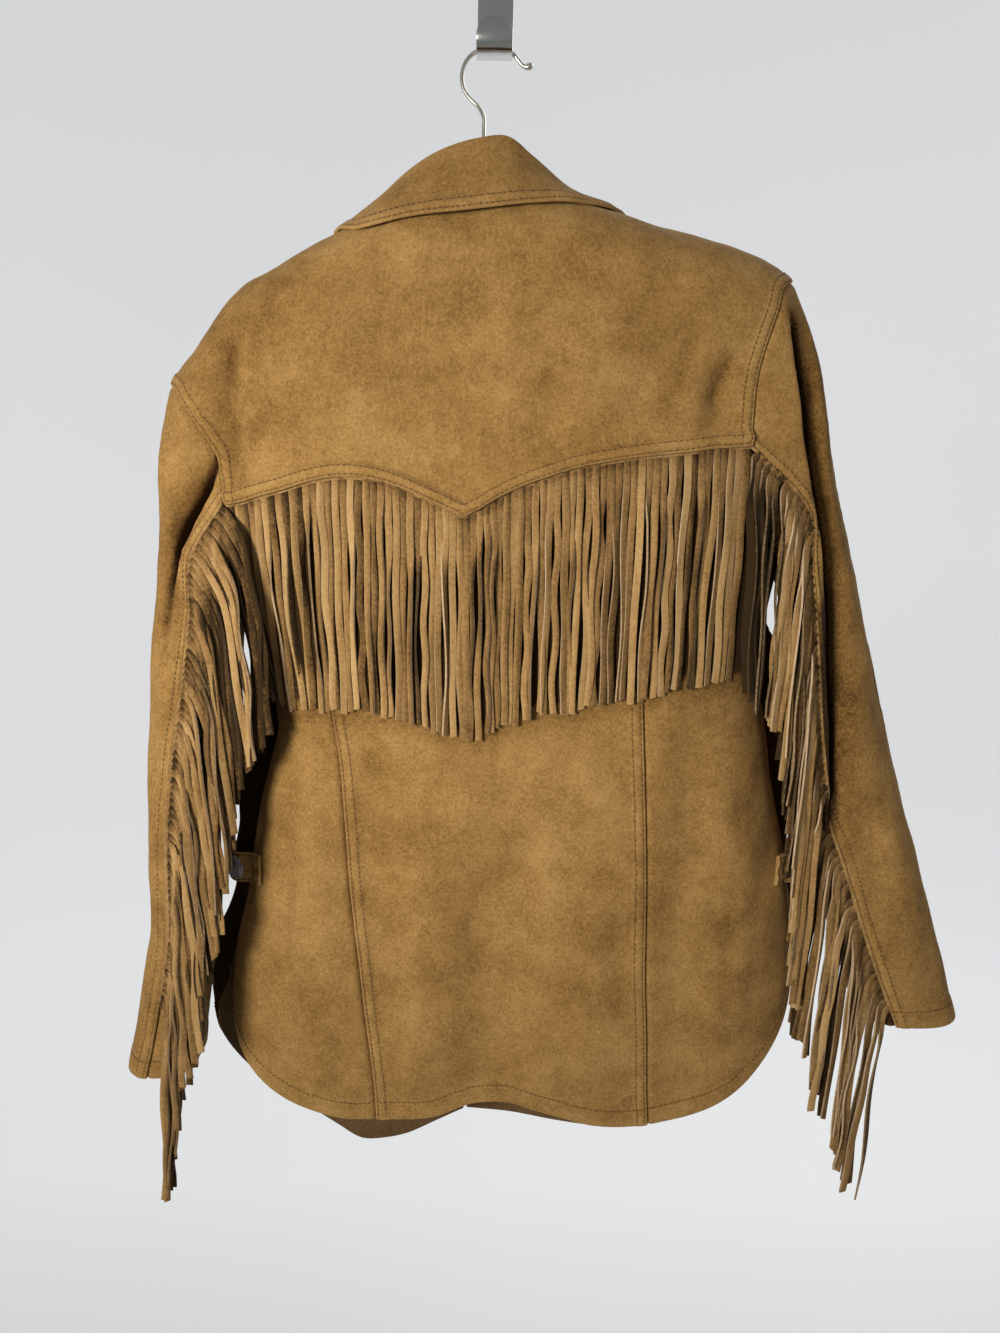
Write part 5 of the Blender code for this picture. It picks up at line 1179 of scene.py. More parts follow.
STEEL = metal("door_hook_steel", (0.66, 0.65, 0.63, 1), 0.17)
WIRE = metal("hook_wire", (0.60, 0.57, 0.50, 1), 0.30)
WOOD = plain("hanger_wood", (0.30, 0.150, 0.060), (0.47, 0.270, 0.120), 60.0, 0.45, 0.15, (0.08, 1.0, 1.0))
BUTTON = plain("button_horn", (0.020, 0.016, 0.013), (0.095, 0.076, 0.062), 120.0, 0.35, 0.1)
STONE = plain("tab_button_grey", (0.16, 0.16, 0.165), (0.55, 0.55, 0.55), 160.0, 0.35, 0.5)
CLOTH = [SUEDE, FLESH, SUEDE_CUT]


# ---------------------------------------------------------------- the body's pieces
def viewerward(grid):
    return np.broadcast_to(np.array([0.0, -1.0, 0.0]), grid.shape)


def doorward(grid):
    return np.broadcast_to(np.array([0.0, 1.0, 0.0]), grid.shape)


def show(piece, *nodes, slot="suede"):
    """Each piece hangs still with the whole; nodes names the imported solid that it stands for, if any."""
    if nodes:
        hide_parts(*nodes)
    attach(piece, "root")


def cloth(node, name, form, edges, pitch, facing, **how):
    """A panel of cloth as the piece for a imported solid."""
    panel = Panel(name, form, edges, pitch, facing, **how)
    show(panel.build(CLOTH), node)
    return panel


def inset(length, gap=GAP):
    """A gap between two pieces as a share of a piece's length."""
    return gap / length


def raised(points, low=-math.inf, high=math.inf):
    """The points of a line between two values of x, put under the piece above."""
    return [(x, z + UNDER) for x, z in points if low < x < high]


NECK_SIDE_L, NECK_SIDE_R = 0.37, 0.63  # where the neck begins and ends along the yoke's top
SHOULDER_L = [TIP_L] + [r for r in RIDGE if TIP_L[0] < r[0] < NECK_L[0]] + [NECK_L]
SHOULDER_R = [NECK_R] + [r for r in RIDGE if NECK_R[0] < r[0] < TIP_R[0]] + [TIP_R]
YOKE_TOP = joined3(SHOULDER_L, NECK_BACK, SHOULDER_R, NECK_SIDE_L, NECK_SIDE_R)
YOKE_V = 0.468
YOKE_EDGE = joined(YOKE_SWEEP_L, YOKE_SWEEP_R, YOKE_V)


def yoke_lap(s, p):
    """The yoke's edge stands off the panels below it, over the fringe's strip."""
    above = p[..., 2] - YOKE_EDGE(s)[..., 1]
    return LAP * smoothstep((LAP_FROM - above) / (LAP_FROM - LAP_FULL))


def painted_trough_shade(grid):
    """Painted shade on the back: darker in a trough and lighter on a ridge."""
    return -0.10 * folds(grid[..., 0], grid[..., 2], CREASES_BACK)


def back_shade(grid):
    """Below the yoke, the cloth behind the fringe is also in its shadow."""
    x, z = grid[..., 0], grid[..., 2]
    ends = np.array(BACK_ENDS, float)
    low = np.interp(x, ends[:, 0], ends[:, 1])
    shadow = -1.15 * smoothstep((z - low - 6) / 12) - 0.35 * smoothstep((z - low + 16) / 18)
    return painted_trough_shade(grid) + shadow


yoke_form = patch(YOKE_TOP, YOKE_EDGE, curve(ARM_BACK_L), curve(ARM_BACK_R))
yoke_in = inset(420, 0.6)
yoke = cloth("back_yoke", "yoke_suede", yoke_form, ("welt", "welt", "plain", "welt"), 3.3, viewerward,
             off=yoke_lap, seed=11, shade=painted_trough_shade, clip=(yoke_in, 1 - yoke_in, 0.00002, 1.0))

FROM_L, FROM_V, FROM_R = raised([PRINCESS_L[0], V_POINT, PRINCESS_R[0]])
TOP_L = [(YOKE_L[0] + 0.1, YOKE_L[1])] + raised(YOKE_SWEEP_L, -200, -131) + [FROM_L]
TOP_CA = [FROM_L] + raised(YOKE_SWEEP_L, -125, -20) + [FROM_V]
TOP_CB = [FROM_V] + raised(YOKE_SWEEP_R, -10, 120) + [FROM_R]
TOP_R = [FROM_R] + raised(YOKE_SWEEP_R, 135, 195) + [YOKE_R]
PR_L = [FROM_L] + PRINCESS_L[1:]
PR_R = [FROM_R] + PRINCESS_R[1:]
centre_form = patch(joined(TOP_CA, TOP_CB, 0.445), curve(HEM_BACK_C), curve(PR_L), curve(PR_R))
centre = cloth("back_panel_centre", "centre_back_suede", centre_form, ("welt", "welt", "plain", "hem"), 3.6,
               viewerward, seed=21, shade=back_shade, clip=(inset(250), 1 - inset(250), 0.0, 1.0))


def side_down(arm, pit, side, at=0.24):
    """The edge of a side panel: the armhole's lower part, then the side seam."""
    low = curve(arm)
    sign = -1 if pit[0] < 0 else 1

    def edge(s):
        s = np.asarray(s, float)
        z = pit[1] + (side[1] - pit[1]) * np.clip((s - at) / (1 - at), 0, 1)
        middle, half = sides(z)
        seam_line = np.stack([middle + sign * half, z], -1)
        return np.where((s <= at)[..., None], low(np.clip(s / at, 0, 1)), seam_line)

    return edge


left_form = patch(curve(TOP_L), curve(HEM_BACK_L), side_down(ARM_LOW_L, PIT_L, SIDE_L), curve(PR_L))
left = cloth("back_panel_left", "left_back_suede", left_form, ("seam", "seam", "plain", "hem"), 3.6,
             viewerward, seed=31, shade=back_shade, clip=(inset(90, 0.5), 1 - inset(90), 0.003, 1.0), tuck=(RIGHT,))
right_form = patch(curve(TOP_R), curve(HEM_BACK_R), curve(PR_R), side_down(ARM_LOW_R, PIT_R, SIDE_R))
right = cloth("back_panel_right", "right_back_suede", right_form, ("seam", "seam", "plain", "hem"), 3.6,
              viewerward, seed=41, shade=back_shade, clip=(inset(120), 1 - inset(120, 0.5), 0.003, 1.0), tuck=(LEFT,))

close_l = curve([NECK_FRONT_L[-1], (CLOSE_L, -600), HEM_FRONT_L[-1]])
close_r = curve([NECK_FRONT_R[0], (CLOSE_R, -600), HEM_FRONT_R[0]])
side_l = side_down(ARM_FRONT_L, PIT_L, SIDE_L, 0.34)
side_r = side_down(ARM_FRONT_R, PIT_R, SIDE_R, 0.34)
front_l_form = patch(joined(SHOULDER_L, NECK_FRONT_L, 0.55), curve(HEM_FRONT_L), side_l, close_l, front=True)
front_r_form = patch(joined(NECK_FRONT_R, SHOULDER_R, 0.45), curve(HEM_FRONT_R), close_r, side_r, front=True)


def shaded_side(grid):
    """The fronts' cloth is darkest where it turns back toward the side seams, out of the light."""
    n = grid_normals(grid)[..., 1]
    return -1.4 * smoothstep((0.40 - n * np.sign(n.sum())) / 0.5)


front_l = cloth("front_left", "left_front_suede", front_l_form, ("seam", "plain", "plain", "hem"), 5.2,
                doorward, seed=51, shade=shaded_side, clip=(inset(220, 0.8), 1.0, 0.00001, 1.0),
                tuck=(LEFT, TOP))
front_r = cloth("front_right", "right_front_suede", front_r_form, ("plain", "seam", "plain", "hem"), 5.2,
                doorward, seed=61, shade=shaded_side, clip=(0.0, 1 - inset(260, 0.8), 0.00001, 1.0),
                tuck=(RIGHT, TOP))

PLACKET_TOP, PLACKET_BOTTOM, PLACKET_W = -293.0, -1030.0, 34.0
PLACKET_OFF = LIFT + 0.6  # the placket's middle stands this far off the front's


def placket_form(s, t):
    z = PLACKET_TOP + (PLACKET_BOTTOM - PLACKET_TOP) * t
    x = CENTRE_X + (s - 0.5) * PLACKET_W
    q = to_w(np.stack([x, z], -1))
    return body(q[..., 0], z, True)


placket = cloth("front_placket", "placket_suede", placket_form, ("welt", "welt", "plain", "plain"), 4.0,
                doorward, off=PLACKET_OFF, seed=71)

# ---------------------------------------------------------------- sleeves
SLEEVE_FROM = 0.0014  # the sleeve's cloth starts this share of its length off the armhole


def beside(p, rows, outward):
    """The distance outward from the line where the cloth folds on itself, and the fold's depth and step."""
    table = np.array(rows, float)[::-1]
    z = p[..., 2]
    d = (p[..., 0] - np.interp(z, table[:, 1], table[:, 0])) * outward
    return d, *[np.interp(z, table[:, 1], table[:, k], left=0, right=0) for k in (2, 3)]


def cleft(p, rows, outward):
    """How far the sleeve's cloth goes in (plus y) beside the line where it folds on itself."""
    d, deep, step = beside(p, rows, outward)
    near = smoothstep((d + 3.0) / 3.5) * np.exp(-(np.maximum(d - 1.0, 0) / 4.5) ** 2)
    return deep * near + step * smoothstep((d + 2.0) / 5.0)


def cleft_shade(p, rows, outward):
    """Painted shade, darkest deep in the fold and, lower down, over the welt beside it; less dark on the band beyond
    it: a shade for each point.
    """
    d, deep, _ = beside(p, rows, outward)
    before = 1.5 + 20.0 * smoothstep((-505 - p[..., 2]) / 30)
    line = 1.8 * smoothstep((d + before) / (before + 1.5)) * smoothstep((10 - d) / 6)
    line += 0.7 * smoothstep(d / 3) * np.exp(-(np.maximum(d - 8, 0) / 20) ** 2)
    turn = (p[..., 0] * outward).argmax(axis=0)
    behind = smoothstep((np.arange(len(p))[:, None] - turn) / (0.1 * len(p)))
    return -np.minimum(deep / 20, 1.0) * line * behind


def under_shade(grid):
    """The undersleeve is dark where it looks away from the light, down to its hem."""
    facing_in = -grid_normals(grid)[..., 1]
    return -1.1 * smoothstep((facing_in + 0.1) / 0.5) * smoothstep((grid[..., 2] + 1030) / 30)


def sleeve_pieces(side, loop, rings, creases, cleft_rows, seam_rows, outward, seed):
    base, knots = sleeve(loop, rings, creases, outward)
    slit = 0.5 / 260  # half the gap between the two pieces, as a share of the way round

    def seam(t):
        return hermite(knots, seam_rows, t)

    def surface(t, a):
        p = base(t, a)
        turn = np.mod(np.broadcast_to(a, p.shape[:-1]), 1.0)
        back = smoothstep((np.sin(turn * 2 * math.pi) + 0.15) / 0.6)
        p[..., 1] += cleft(p, cleft_rows, outward) * back
        return p

    def outer_form(s, t):
        low = SEAM_A_FRONT - 1 + slit
        return surface(t, low + (seam(t) - slit - low) * s)

    def under_form(s, t):
        low = seam(t) + slit
        return surface(t, low + (SEAM_A_FRONT - slit - low) * s)

    ring_t = np.linspace(SLEEVE_FROM, 1, 40)
    ring_a = np.linspace(0, 1, 41)[:-1]
    axis = base(np.broadcast_to(ring_t[None, :], (40, 40)), ring_a[:, None]).mean(axis=0)

    def away(grid):
        z = grid[..., 2]
        middle = np.stack([np.interp(z, axis[::-1, 2], axis[::-1, k]) for k in (0, 1)], -1)
        return np.concatenate([grid[..., :2] - middle, np.zeros(z.shape + (1,))], -1)

    covers = (0, 1, SLEEVE_FROM, 1.0)
    outer = cloth(f"sleeve_{side}_outer", f"{side}_sleeve_suede", outer_form,
                  ("seam", "welt", "plain", "hem"), 3.0, away, seed=seed,
                  shade=lambda grid: cleft_shade(grid, cleft_rows, outward), clip=covers, tuck=(TOP,))
    under = cloth(f"sleeve_{side}_under", f"{side}_undersleeve_suede", under_form,
                  ("seam", "seam", "plain", "hem"), 3.8, away, seed=seed + 5, shade=under_shade,
                  clip=covers, tuck=(LEFT, RIGHT, TOP))
    return surface, seam, outer, under


sleeve_l, seam_l, outer_l, under_l = sleeve_pieces(
    "left", armhole_loop(ARM_BACK_L, ARM_LOW_L, ARM_FRONT_L), RINGS_L, FOLDS_SLEEVE_L + CREASES_SLEEVE_L,
    CLEFT_L, SEAM_A_L, -1, 81)
sleeve_r, seam_r, outer_r, under_r = sleeve_pieces(
    "right", armhole_loop(ARM_BACK_R, ARM_LOW_R, ARM_FRONT_R), RINGS_R, FOLDS_SLEEVE_R + CREASES_SLEEVE_R,
    CLEFT_R, SEAM_A_R, 1, 91)

# ---------------------------------------------------------------- fringe
STRANDS = [STRAND, STRAND_EDGE]
show(back_fringe(STRANDS), "fringe_back", slot="fringe_suede")
show(sleeve_fringe("fringe_left_cut", sleeve_l, seam_l, STRANDS_LEFT, HANG_L, 1, 0.006, 0.863, STRANDS, 55),
     "fringe_sleeve_left", slot="fringe_suede")
show(sleeve_fringe("fringe_right_cut", sleeve_r, seam_r, STRANDS_RIGHT, HANG_R, -1, 0.006, 0.97, STRANDS, 66),
     "fringe_sleeve_right", slot="fringe_suede")

# ---------------------------------------------------------------- collar
COLLAR_ROWS = np.array(COLLAR, float)


def collar_edge():
    """The free edge as a table of points, with its y worked out on the body."""
    part = COLLAR_ROWS[:, 1]
    edge = COLLAR_ROWS[:, 7:9]
    guess = np.stack([edge[:, 0], SEAM_Y + part, edge[:, 1]], -1)
    edge = clear_of_body(guess, 2.3)
    edge[:, 1] += part * COLLAR_ROWS[:, 9]
    edge[part == 0, 1] = SEAM_Y
    return edge


ROLL, EDGE = COLLAR_ROWS[:, 4:7], collar_edge()
NECK_IN, NECK_AT = 3.0, (0.27, 0.73)


def neck_line(s):
    at = hermite(COLLAR_ROWS[:, 0], COLLAR_ROWS[:, 2:4], s)
    inward = NECK_IN * smoothstep(np.abs(at[..., 0] - CENTRE_X) / 60) * np.sign(at[..., 0] - CENTRE_X)
    q = to_w(at)
    before = (s < NECK_AT[0]) | (s > NECK_AT[1])
    y = np.where(before, body(q[..., 0], q[..., 1], True)[..., 1], body(q[..., 0], q[..., 1])[..., 1])
    return np.stack([at[..., 0] - inward, y, at[..., 1] + WALL + 0.4], -1)


def stand_form(s, t):
    a, b = neck_line(s), hermite(COLLAR_ROWS[:, 0], ROLL, s)
    side = np.abs(s - 0.5)
    inward = 8.0 * smoothstep((side - 0.13) / 0.08) * smoothstep((0.5 - side) / 0.12)
    inward = inward * np.sign(CENTRE_X - b[..., 0])
    across = (CENTRE_X - b[..., 0]) * 0.035 + inward
    b = b + np.stack([across, (SEAM_Y - b[..., 1]) * 0.09, np.full_like(s, -4.2)], -1)
    b[..., 2] = np.maximum(b[..., 2], a[..., 2] + 2.2)
    return a + (b - a) * t[..., None]


def fall_form(s, t):
    """Over the roll, then down to the free edge in a shallow bow, clear of the shoulders."""
    b, c = hermite(COLLAR_ROWS[:, 0], ROLL, s), hermite(COLLAR_ROWS[:, 0], EDGE, s)
    t1 = t[..., None]
    flat = c - b
    out = unit(flat * np.array([1.0, 1.0, 0.0]))
    p = b + flat * t1 + out * 2.5 * np.sin(math.pi * t1)
    return clear_of_body(p, COLLAR_T / 2 + WALL / 2 + GAP + 1.2)


def outward_from(x, y):
    """Level, away from an upright line."""
    return lambda grid: (grid - np.array([x, y, 0.0])) * np.array([1.0, 1.0, 0.0])


from_neck = outward_from(CENTRE_X, SEAM_Y)
cloth("collar_stand", "collar_stand_suede", stand_form, ("plain", "plain", "plain", "plain"), 3.5, from_neck,
      thick=1.4, seed=101, clip=(0.004, 0.996, 0, 1), rough=0.4)
fall = cloth("collar_fall", "collar_fall_suede", fall_form, ("welt", "welt", "plain", "welt"), 2.6, from_neck,
             thick=COLLAR_T, seed=111, rough=0.7)


# ---------------------------------------------------------------- waist tabs
def tab_form(sign, z_mid, x_in, stand_off):
    """A strap from the back panel round the side, standing off the side seam like a flat handle."""
    middle, half = sides(np.array(z_mid))
    edge = float(middle + sign * half)

    def surface(s, t):
        z = z_mid + (0.5 - t) * TAB_H
        rows = [
            (x_in, None, -4.0), (edge - sign * 5, None, -5.5), (edge + sign * stand_off * 0.6, -60, 0),
            (edge + sign * stand_off, -47, 0), (edge + sign * stand_off * 0.85, -28, 0),
            (edge + sign * 4, -8, 0), (edge - sign * 14, None, 7.0),
        ]
        path = []
        for k, (x, y, lift) in enumerate(rows):
            if y is None:
                q = to_w(np.array([[x, z_mid]]))
                y = float(body(q[:, 0], q[:, 1], k > 3)[0, 1]) + lift
            path.append((x, y))
        xy = curve(path)(s)
        return np.stack([xy[..., 0], xy[..., 1], z], -1)

    return surface


def lathe(centre, axis, profile, around, star=None):
    """Rings of a turned piece; star gives each point's radius as a share of the ring's."""
    axis = np.array(axis, float) / np.linalg.norm(axis)
    u = np.cross(axis, (0, 0, 1.0))
    u /= np.linalg.norm(u)
    v = np.cross(axis, u)
    angle = 2 * math.pi * np.arange(around) / around
    rings = []
    for radius, height in profile:
        r = radius * (np.ones(around) if star is None else star)
        ring = axis * height + (r * np.cos(angle))[:, None] * u + (r * np.sin(angle))[:, None] * v
        rings.append(np.array(centre) + ring)
    return np.array(rings)


def tube(name, rings, materials, sharp=40):
    """A closed body through rings of points, its two ends drawn to a point in their middles."""
    count, around = rings.shape[:2]
    points = np.concatenate([rings.reshape(-1, 3), rings[0].mean(0)[None], rings[-1].mean(0)[None]])
    last = (count - 1) * around
    caps = [[(j + 1) % around, j, count * around] for j in range(around)]
    caps += [[last + j, last + (j + 1) % around, count * around + 1] for j in range(around)]
    quads, caps = np.array(ring_quads(count, around)), np.array(caps)
    if not outward_volume(points - points.mean(0), quads, caps):
        quads, caps = quads[:, ::-1], caps[:, ::-1]
    return make(name, points, quads, materials, triangles=caps, sharp=sharp)


def joined_objects(name, objects):
    """Several meshes of one piece as one object."""
    chosen = {"active_object": objects[0], "selected_editable_objects": objects, "selected_objects": objects}
    with bpy.context.temp_override(**chosen):
        bpy.ops.object.join()
    objects[0].name = name
    objects[0].data.name = name
    return objects[0]


TABS = [
    # side, sign, height, x at its start, how far it stands off
    ("left", -1, -771.5, -190.0, 19.0),
    ("right", 1, -760.0, 262.0, 10.0),
]
TAB_BUTTON = [  # radius and height
    (8.0, 0.0), (9.6, 0.4), (10.3, 1.2), (10.1, 1.9), (8.6, 2.5), (7.9, 2.3), (6.4, 2.9), (5.0, 2.4),
    (3.6, 3.1), (1.6, 3.2),
]
NOTCHES = 44  # points round the tab button's notched rim
tabs = []
for side, sign, z_mid, x_in, stand_off in TABS:
    form = tab_form(sign, z_mid, x_in, stand_off)
    tabs.append(cloth(f"tab_{side}", f"{side}_tab_suede", form, ("welt", "welt", "welt", "welt"), 2.4,
                      outward_from(sign * 150, -40), seed=121, rough=0.3))
    spot = form(np.array([0.22, 0.25, 0.28]), np.array([0.5, 0.5, 0.5]))
    face = np.cross(spot[2] - spot[0], (0, 0, 1.0))
    face *= 1 if face[0] * sign > 0 or face[1] < 0 else -1
    face /= np.linalg.norm(face)
    draw = np.random.default_rng(131)
    jag = 1 + 0.055 * np.where(np.arange(NOTCHES) % 4 < 2, 1, -1) + draw.uniform(-0.02, 0.02, NOTCHES)
    rings = lathe(spot[1] + face * (WALL / 2 + GAP), face, TAB_BUTTON, NOTCHES, jag)
    show(tube(f"{side}_tab_button_stone", rings, [STONE], sharp=30), f"tab_button_{side}", slot="buttons")

# ---------------------------------------------------------------- front buttons
BUTTON_Z = (-345, -465, -585, -705, -825, -945)
FRONT_BUTTON = [  # radius and height
    (6.4, 0.0), (7.1, 0.35), (7.5, 1.2), (7.3, 2.0), (6.6, 2.5), (5.9, 2.35), (5.2, 1.7), (4.4, 1.45),
    (2.0, 1.5), (0.8, 1.5),
]
KNOT = [(0.75, 0.0), (0.8, 0.25), (0.5, 0.5)]
HOLE = 1.4  # a button's four holes lie this far across and down from its middle
for k, z in enumerate(BUTTON_Z):
    place = (z - PLACKET_TOP) / (PLACKET_BOTTOM - PLACKET_TOP)
    y = float(placket_form(np.array([0.5]), np.array([place]))[0, 1])
    centre_point = (CENTRE_X, y + PLACKET_OFF + WALL / 2 + GAP, z)
    rings = lathe(centre_point, (0, 1, 0), FRONT_BUTTON, 40)
    parts = [tube(f"front_button_{k + 1}_horn", rings, [BUTTON, THREAD], sharp=30)]
    for hole_x, hole_z in ((-HOLE, -HOLE), (HOLE, -HOLE), (-HOLE, HOLE), (HOLE, HOLE)):
        knot_at = (centre_point[0] + hole_x, centre_point[1] + 1.3, z + hole_z)
        knot = lathe(knot_at, (0, 1, 0), KNOT, 10)
        bead = tube("knot", knot, [BUTTON, THREAD])
        bead.data.polygons.foreach_set("material_index", np.ones(len(bead.data.polygons), np.int32))
        parts.append(bead)
    button = joined_objects(f"front_button_{k + 1}_horn", parts)
    show(button, f"front_button_{k + 1}", slot="buttons")

# ---------------------------------------------------------------- stitching
def rows_of(panel, *panel_sides, count=2):
    """The rows of stitches along a panel's sides, at most count to a side."""
    at = [(side, d) for side in panel_sides for d in STITCH_AT[panel.edges[side]][:count]]
    return [stitch_places(*panel.line(side, d)) for side, d in at]


SEWING = [
    ("yoke_stitches", rows_of(yoke, BOTTOM, LEFT, RIGHT)),
    ("centre_back_stitches", rows_of(centre, LEFT, RIGHT, BOTTOM)),
    ("side_back_stitches", rows_of(left, BOTTOM) + rows_of(right, BOTTOM)),
    ("left_sleeve_stitches", rows_of(outer_l, RIGHT, BOTTOM) + rows_of(under_l, BOTTOM)),
    ("right_sleeve_stitches", rows_of(outer_r, RIGHT, BOTTOM) + rows_of(under_r, BOTTOM)),
    ("collar_stitches", rows_of(fall, BOTTOM, LEFT, RIGHT)),
    ("front_stitches", rows_of(front_l, BOTTOM) + rows_of(front_r, BOTTOM) + rows_of(placket, LEFT, RIGHT)),
    ("tab_stitches", [row for tab in tabs for row in rows_of(tab, LEFT, RIGHT, TOP, BOTTOM, count=1)]),
]
for seed, (name, rows) in enumerate(SEWING, 1):
    show(sew(name, rows, THREAD, seed))

# ---------------------------------------------------------------- hanger
BAR_Y, BAR_L, BAR_R = -40.0, -206.0, 203.0


def bar_rings():
    """The bar follows the shoulders' ridge, and is lower, thinner and rounded at its two ends."""
    rings = []
    places = np.concatenate([[BAR_L, -205.2, -203.5], np.linspace(-200, 197, 56), [200.5, 202.2, BAR_R]])
    around = np.linspace(0, 2 * math.pi, 21)[:-1]
    for x in places:
        top = float(ridge(np.array([x]))[0]) - 2.45
        share = abs(x) / -BAR_L
        height = 24 - 11 * share
        half = 5.6 - 0.8 * share
        tip = min((x - BAR_L) / 6, (BAR_R - x) / 6, 1)
        tip = math.sqrt(max(1 - (1 - tip) ** 2, 0.05))
        c, s = np.cos(around), np.sin(around)
        y = np.sign(c) * np.abs(c) ** 0.8 * half * tip * 0.98
        z = np.sign(s) * np.abs(s) ** 0.8 * height / 2 * (0.45 + 0.55 * tip) * 0.97
        rings.append(np.stack([np.full(20, x), BAR_Y + y, top - height / 2 + z], -1))
    return np.array(rings)


show(tube("hanger_bar_turned", bar_rings(), [WOOD], sharp=60), "hanger_bar", slot="hanger_wood")

HOOK = [
    (-3.5, -39.5, -201.6), (-3.5, -39.2, -190), (-5, -36, -178), (-6.8, -30, -163), (-7.4, -25, -150),
    (-7.8, -20.5, -140), (-12, -17.5, -131.5), (-20, -16, -124), (-25, -15.2, -116), (-26.2, -15, -108),
    (-23.6, -15, -98), (-17.5, -15, -91), (-9.5, -15, -87), (-1.3, -15, -85.9), (7.5, -15, -87),
    (15, -15, -90.5), (20.2, -15, -96), (24.4, -15, -99.6), (28.5, -15, -99.4), (31.2, -15, -98),
]
WIRE_ENDS = [(0.0, 4.6), (0.05, 4.6), (0.0505, WIRE_R)]
BEAD = [(0.962, 1.75), (0.968, 2.35), (0.974, 2.75), (0.982, 2.9), (0.990, 2.65), (0.996, 1.9), (1.0, 0.7)]


def wire_rings(points, radius_rows, around):
    line = curve(points)
    s = np.array([r[0] for r in radius_rows])
    p = line(s)
    d = unit(line(np.clip(s + 0.004, 0, 1)) - line(np.clip(s - 0.004, 0, 1)))
    side = np.cross(d[0], (0, 1.0, 0))
    angle = 2 * math.pi * np.arange(around) / around
    rings = []
    for k in range(len(s)):
        side = unit(side - d[k] * np.dot(side, d[k]))
        up = np.cross(d[k], side)
        rings.append(p[k] + radius_rows[k][1] * (np.cos(angle)[:, None] * side + np.sin(angle)[:, None] * up))
    return np.array(rings)


wire_rows = WIRE_ENDS + [(v, WIRE_R) for v in np.linspace(0.06, 0.958, 110)] + BEAD
show(tube("hanger_hook_wire", wire_rings(HOOK, wire_rows, 16), [WIRE], sharp=45), "hanger_hook",
     slot="hook_wire")

# ---------------------------------------------------------------- door hook
CROWN_Z, CROWN_Y = -85.9, -15.0
STRAP_ROUND = 0.45


def strap_path():
    """The strap's middle line in y and z: from the door's back over its top, down its face and up again."""
    h = STRAP_T / 2
    y0, bottom = -h, CROWN_Z - WIRE_R - GAP - 4.9 - h
    radius = abs(CROWN_Y) + y0
    centre_z = bottom + radius
    back = DOOR_T + 0.6 + h
    path = [(back, z) for z in np.linspace(-30.0, -2.0 + h, 8)]
    bend, quarter = 2.0, math.pi / 2
    turn = np.linspace(0.2, quarter, 7)
    path += [(back - bend * (1 - math.cos(a)), -bend + h + bend * math.sin(a)) for a in turn]
    path += [(y, h) for y in np.linspace(back - 3.2, 1.4, 10)]
    turn = np.linspace(0.15, quarter, 7)
    path += [(y0 + bend - bend * math.sin(a), h - bend + bend * math.cos(a)) for a in turn]
    path += [(y0, z) for z in np.linspace(h - 6.0, centre_z + 2.0, 22)]
    half_round = np.linspace(0, math.pi, 40)
    path += [(CROWN_Y + radius * math.cos(a), centre_z - radius * math.sin(a)) for a in half_round]
    path += [(CROWN_Y - radius, z) for z in np.linspace(centre_z + 1.5, -68.8 - 0.02, 26)]
    return np.array(path)


def strap_rings():
    path = strap_path()
    run = run_along(path)
    d = unit(np.gradient(path, run, axis=0))
    n = np.stack([-d[:, 1], d[:, 0]], -1)
    rings = []
    for k in range(len(path)):
        left_over = run[-1] - run[k]
        half = STRAP_W / 2
        if left_over < 13.5:
            half = math.sqrt(max(half**2 - (13.5 - left_over) ** 2, 3.0))
        r, t = STRAP_ROUND, STRAP_T / 2
        section = []
        for sx, st in ((-1, 1), (1, 1), (1, -1), (-1, -1)):
            for turn in np.linspace(0, math.pi / 2, 4):
                a = turn if sx * st > 0 else math.pi / 2 - turn
                section.append((sx * (half - r + r * math.sin(a)), st * (t - r + r * math.cos(a))))
        rings.append([(x, path[k, 0] + n[k, 0] * w, path[k, 1] + n[k, 1] * w) for x, w in section])
    return np.array(rings)


show(tube("door_hook_strap", strap_rings(), [STEEL], sharp=50), "door_hook", slot="door_hook_steel")


# ---------------------------------------------------------------- stage, light and camera
def bowl():
    """A pale floor that turns up all round into a far wall."""
    floor_z, flat, curve_r, top = -2300.0, 3200.0, 1600.0, 5200.0
    profile = [(r, floor_z) for r in (400.0, 1500.0, flat)]
    rise = np.linspace(0.12, math.pi / 2, 14)
    profile += [(flat + curve_r * math.sin(a), floor_z + curve_r * (1 - math.cos(a))) for a in rise]
    profile += [(flat + curve_r, z) for z in (0.0, 1500.0, top)]
    around = 96
    angle = 2 * math.pi * np.arange(around) / around
    points = [[0.0, 0.0, floor_z]]
    for r, z in profile:
        points += [[r * math.cos(a), r * math.sin(a), z] for a in angle]
    fan = [[0, 1 + k, 1 + (k + 1) % around] for k in range(around)]
    quads = 1 + np.array(ring_quads(len(profile), around))[:, [0, 3, 2, 1]]
    pale, tree, shader = nodes_of("stage_pale")
    place = add_node(tree, "ShaderNodeTexCoord").outputs["Object"]
    shades = [(0.0, (0.43, 0.435, 0.44)), (1.0, (0.47, 0.47, 0.465))]
    coloured(tree, shader, noise(tree, place, 0.7, 2.0), shades)
    with_values(shader, Roughness=0.9, Emission_Color=(0.97, 0.985, 1.0, 1))
    # The stage glows more on the door's side, so that the light on the jacket's back stays directed.
    split = add_node(tree, "ShaderNodeSeparateXYZ")
    tree.links.new(place, split.inputs["Vector"])
    reach = add_node(tree, "ShaderNodeMapRange")
    for key, value in zip(("From Min", "From Max", "To Min", "To Max"), GLOW):
        reach.inputs[key].default_value = value
    tree.links.new(split.outputs["Y"], reach.inputs["Value"])
    tree.links.new(reach.outputs["Result"], shader.inputs["Emission Strength"])
    make("pale_stage", points, quads, [pale], triangles=fan, sharp=80)


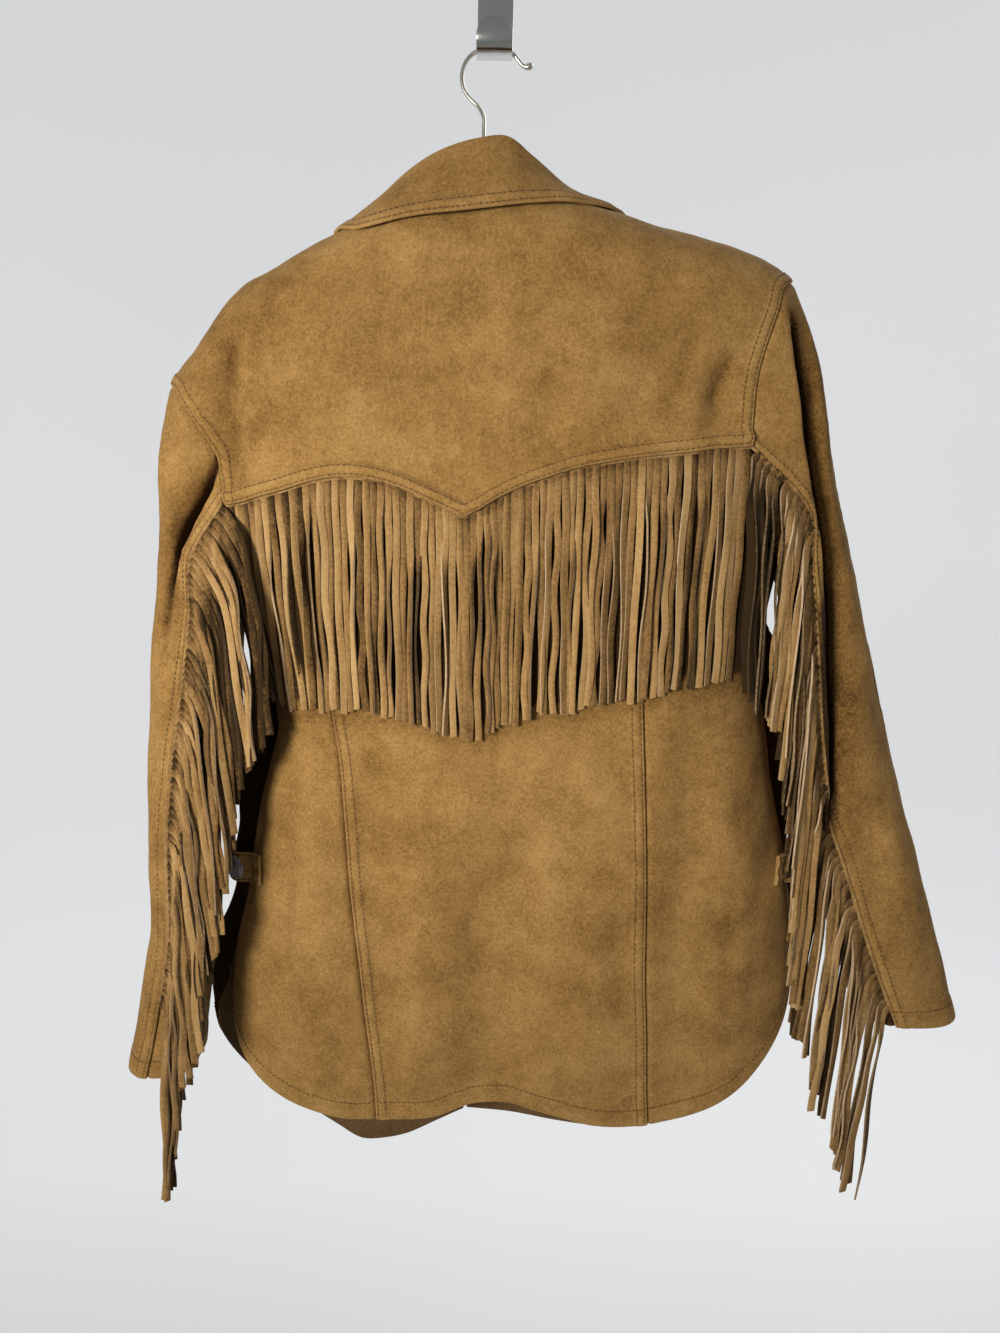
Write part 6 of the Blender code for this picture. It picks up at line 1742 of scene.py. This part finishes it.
def aim(obj, place, target):
    obj.location = Vector(place)
    obj.rotation_euler = (Vector(target) - Vector(place)).to_track_quat("-Z", "Y").to_euler()


def area_light(name, place, target, size, power, colour, spread):
    light = bpy.data.lights.new(name, "AREA")
    light.spread = math.radians(spread)
    light.shape = "RECTANGLE"
    light.size, light.size_y = size
    light.energy, light.color = power, colour
    obj = bpy.data.objects.new(name, light)
    bpy.context.scene.collection.objects.link(obj)
    aim(obj, place, target)


GLOW = (-1.5, 1.5, 0.03, 0.50)  # from y, to y, and the strength at each
LIGHTS = [
    # name, place, aimed at, width and height, power, colour, spread; metres, watts and degrees
    ("key_light", (-0.84, -1.38, -0.36), (0.03, 0.0, -0.57), (0.45, 0.45), 5.2, (1.0, 0.965, 0.92), 75),
    ("top_light", (-0.2, -0.5, 1.5), (0.0, 0.0, -0.5), (1.2, 0.8), 3.0, (1.0, 0.99, 0.97), 180),
    ("right_fill", (2.1, -1.6, 0.0), (0.0, 0.0, -0.6), (1.3, 1.6), 3.0, (0.95, 0.97, 1.0), 180),
    ("door_side_light", (1.2, 2.2, 1.2), (0.0, 0.0, -0.55), (1.4, 1.4), 30.0, (1.0, 0.98, 0.95), 180),
]
bowl()
for row in LIGHTS:
    area_light(*row)

world = bpy.data.worlds.new("soft_room")
bpy.context.scene.world = world
world.use_nodes = True
world.node_tree.nodes["Background"].inputs["Color"].default_value = (0.93, 0.96, 1.0, 1)
world.node_tree.nodes["Background"].inputs["Strength"].default_value = 0.15
bpy.context.scene.view_settings.view_transform = "Standard"

CAMERA_PLACE = (0.0161, -0.9, -0.431)
LOOK_DOWN, ROLL_BY = math.radians(10.44), math.radians(1.35)
FRAME_H, FOCAL_PX, SENSOR = 1333.0, 1000.0, 36.0
camera = bpy.data.cameras.new("camera")
camera.sensor_fit = "VERTICAL"
camera.sensor_height = SENSOR
camera.lens = FOCAL_PX / FRAME_H * SENSOR
camera.clip_start = 0.01
viewer = bpy.data.objects.new("camera", camera)
bpy.context.scene.collection.objects.link(viewer)
ahead = Vector((0, math.cos(LOOK_DOWN), -math.sin(LOOK_DOWN)))
level = Vector((1, 0, 0))
over = level.cross(ahead)
right_way = level * math.cos(ROLL_BY) + over * math.sin(ROLL_BY)
up_way = over * math.cos(ROLL_BY) - level * math.sin(ROLL_BY)
viewer.matrix_world = Matrix((
    (right_way.x, up_way.x, -ahead.x, CAMERA_PLACE[0]),
    (right_way.y, up_way.y, -ahead.y, CAMERA_PLACE[1]),
    (right_way.z, up_way.z, -ahead.z, CAMERA_PLACE[2]),
    (0, 0, 0, 1),
))
bpy.context.scene.camera = viewer

bpy.context.view_layer.update()
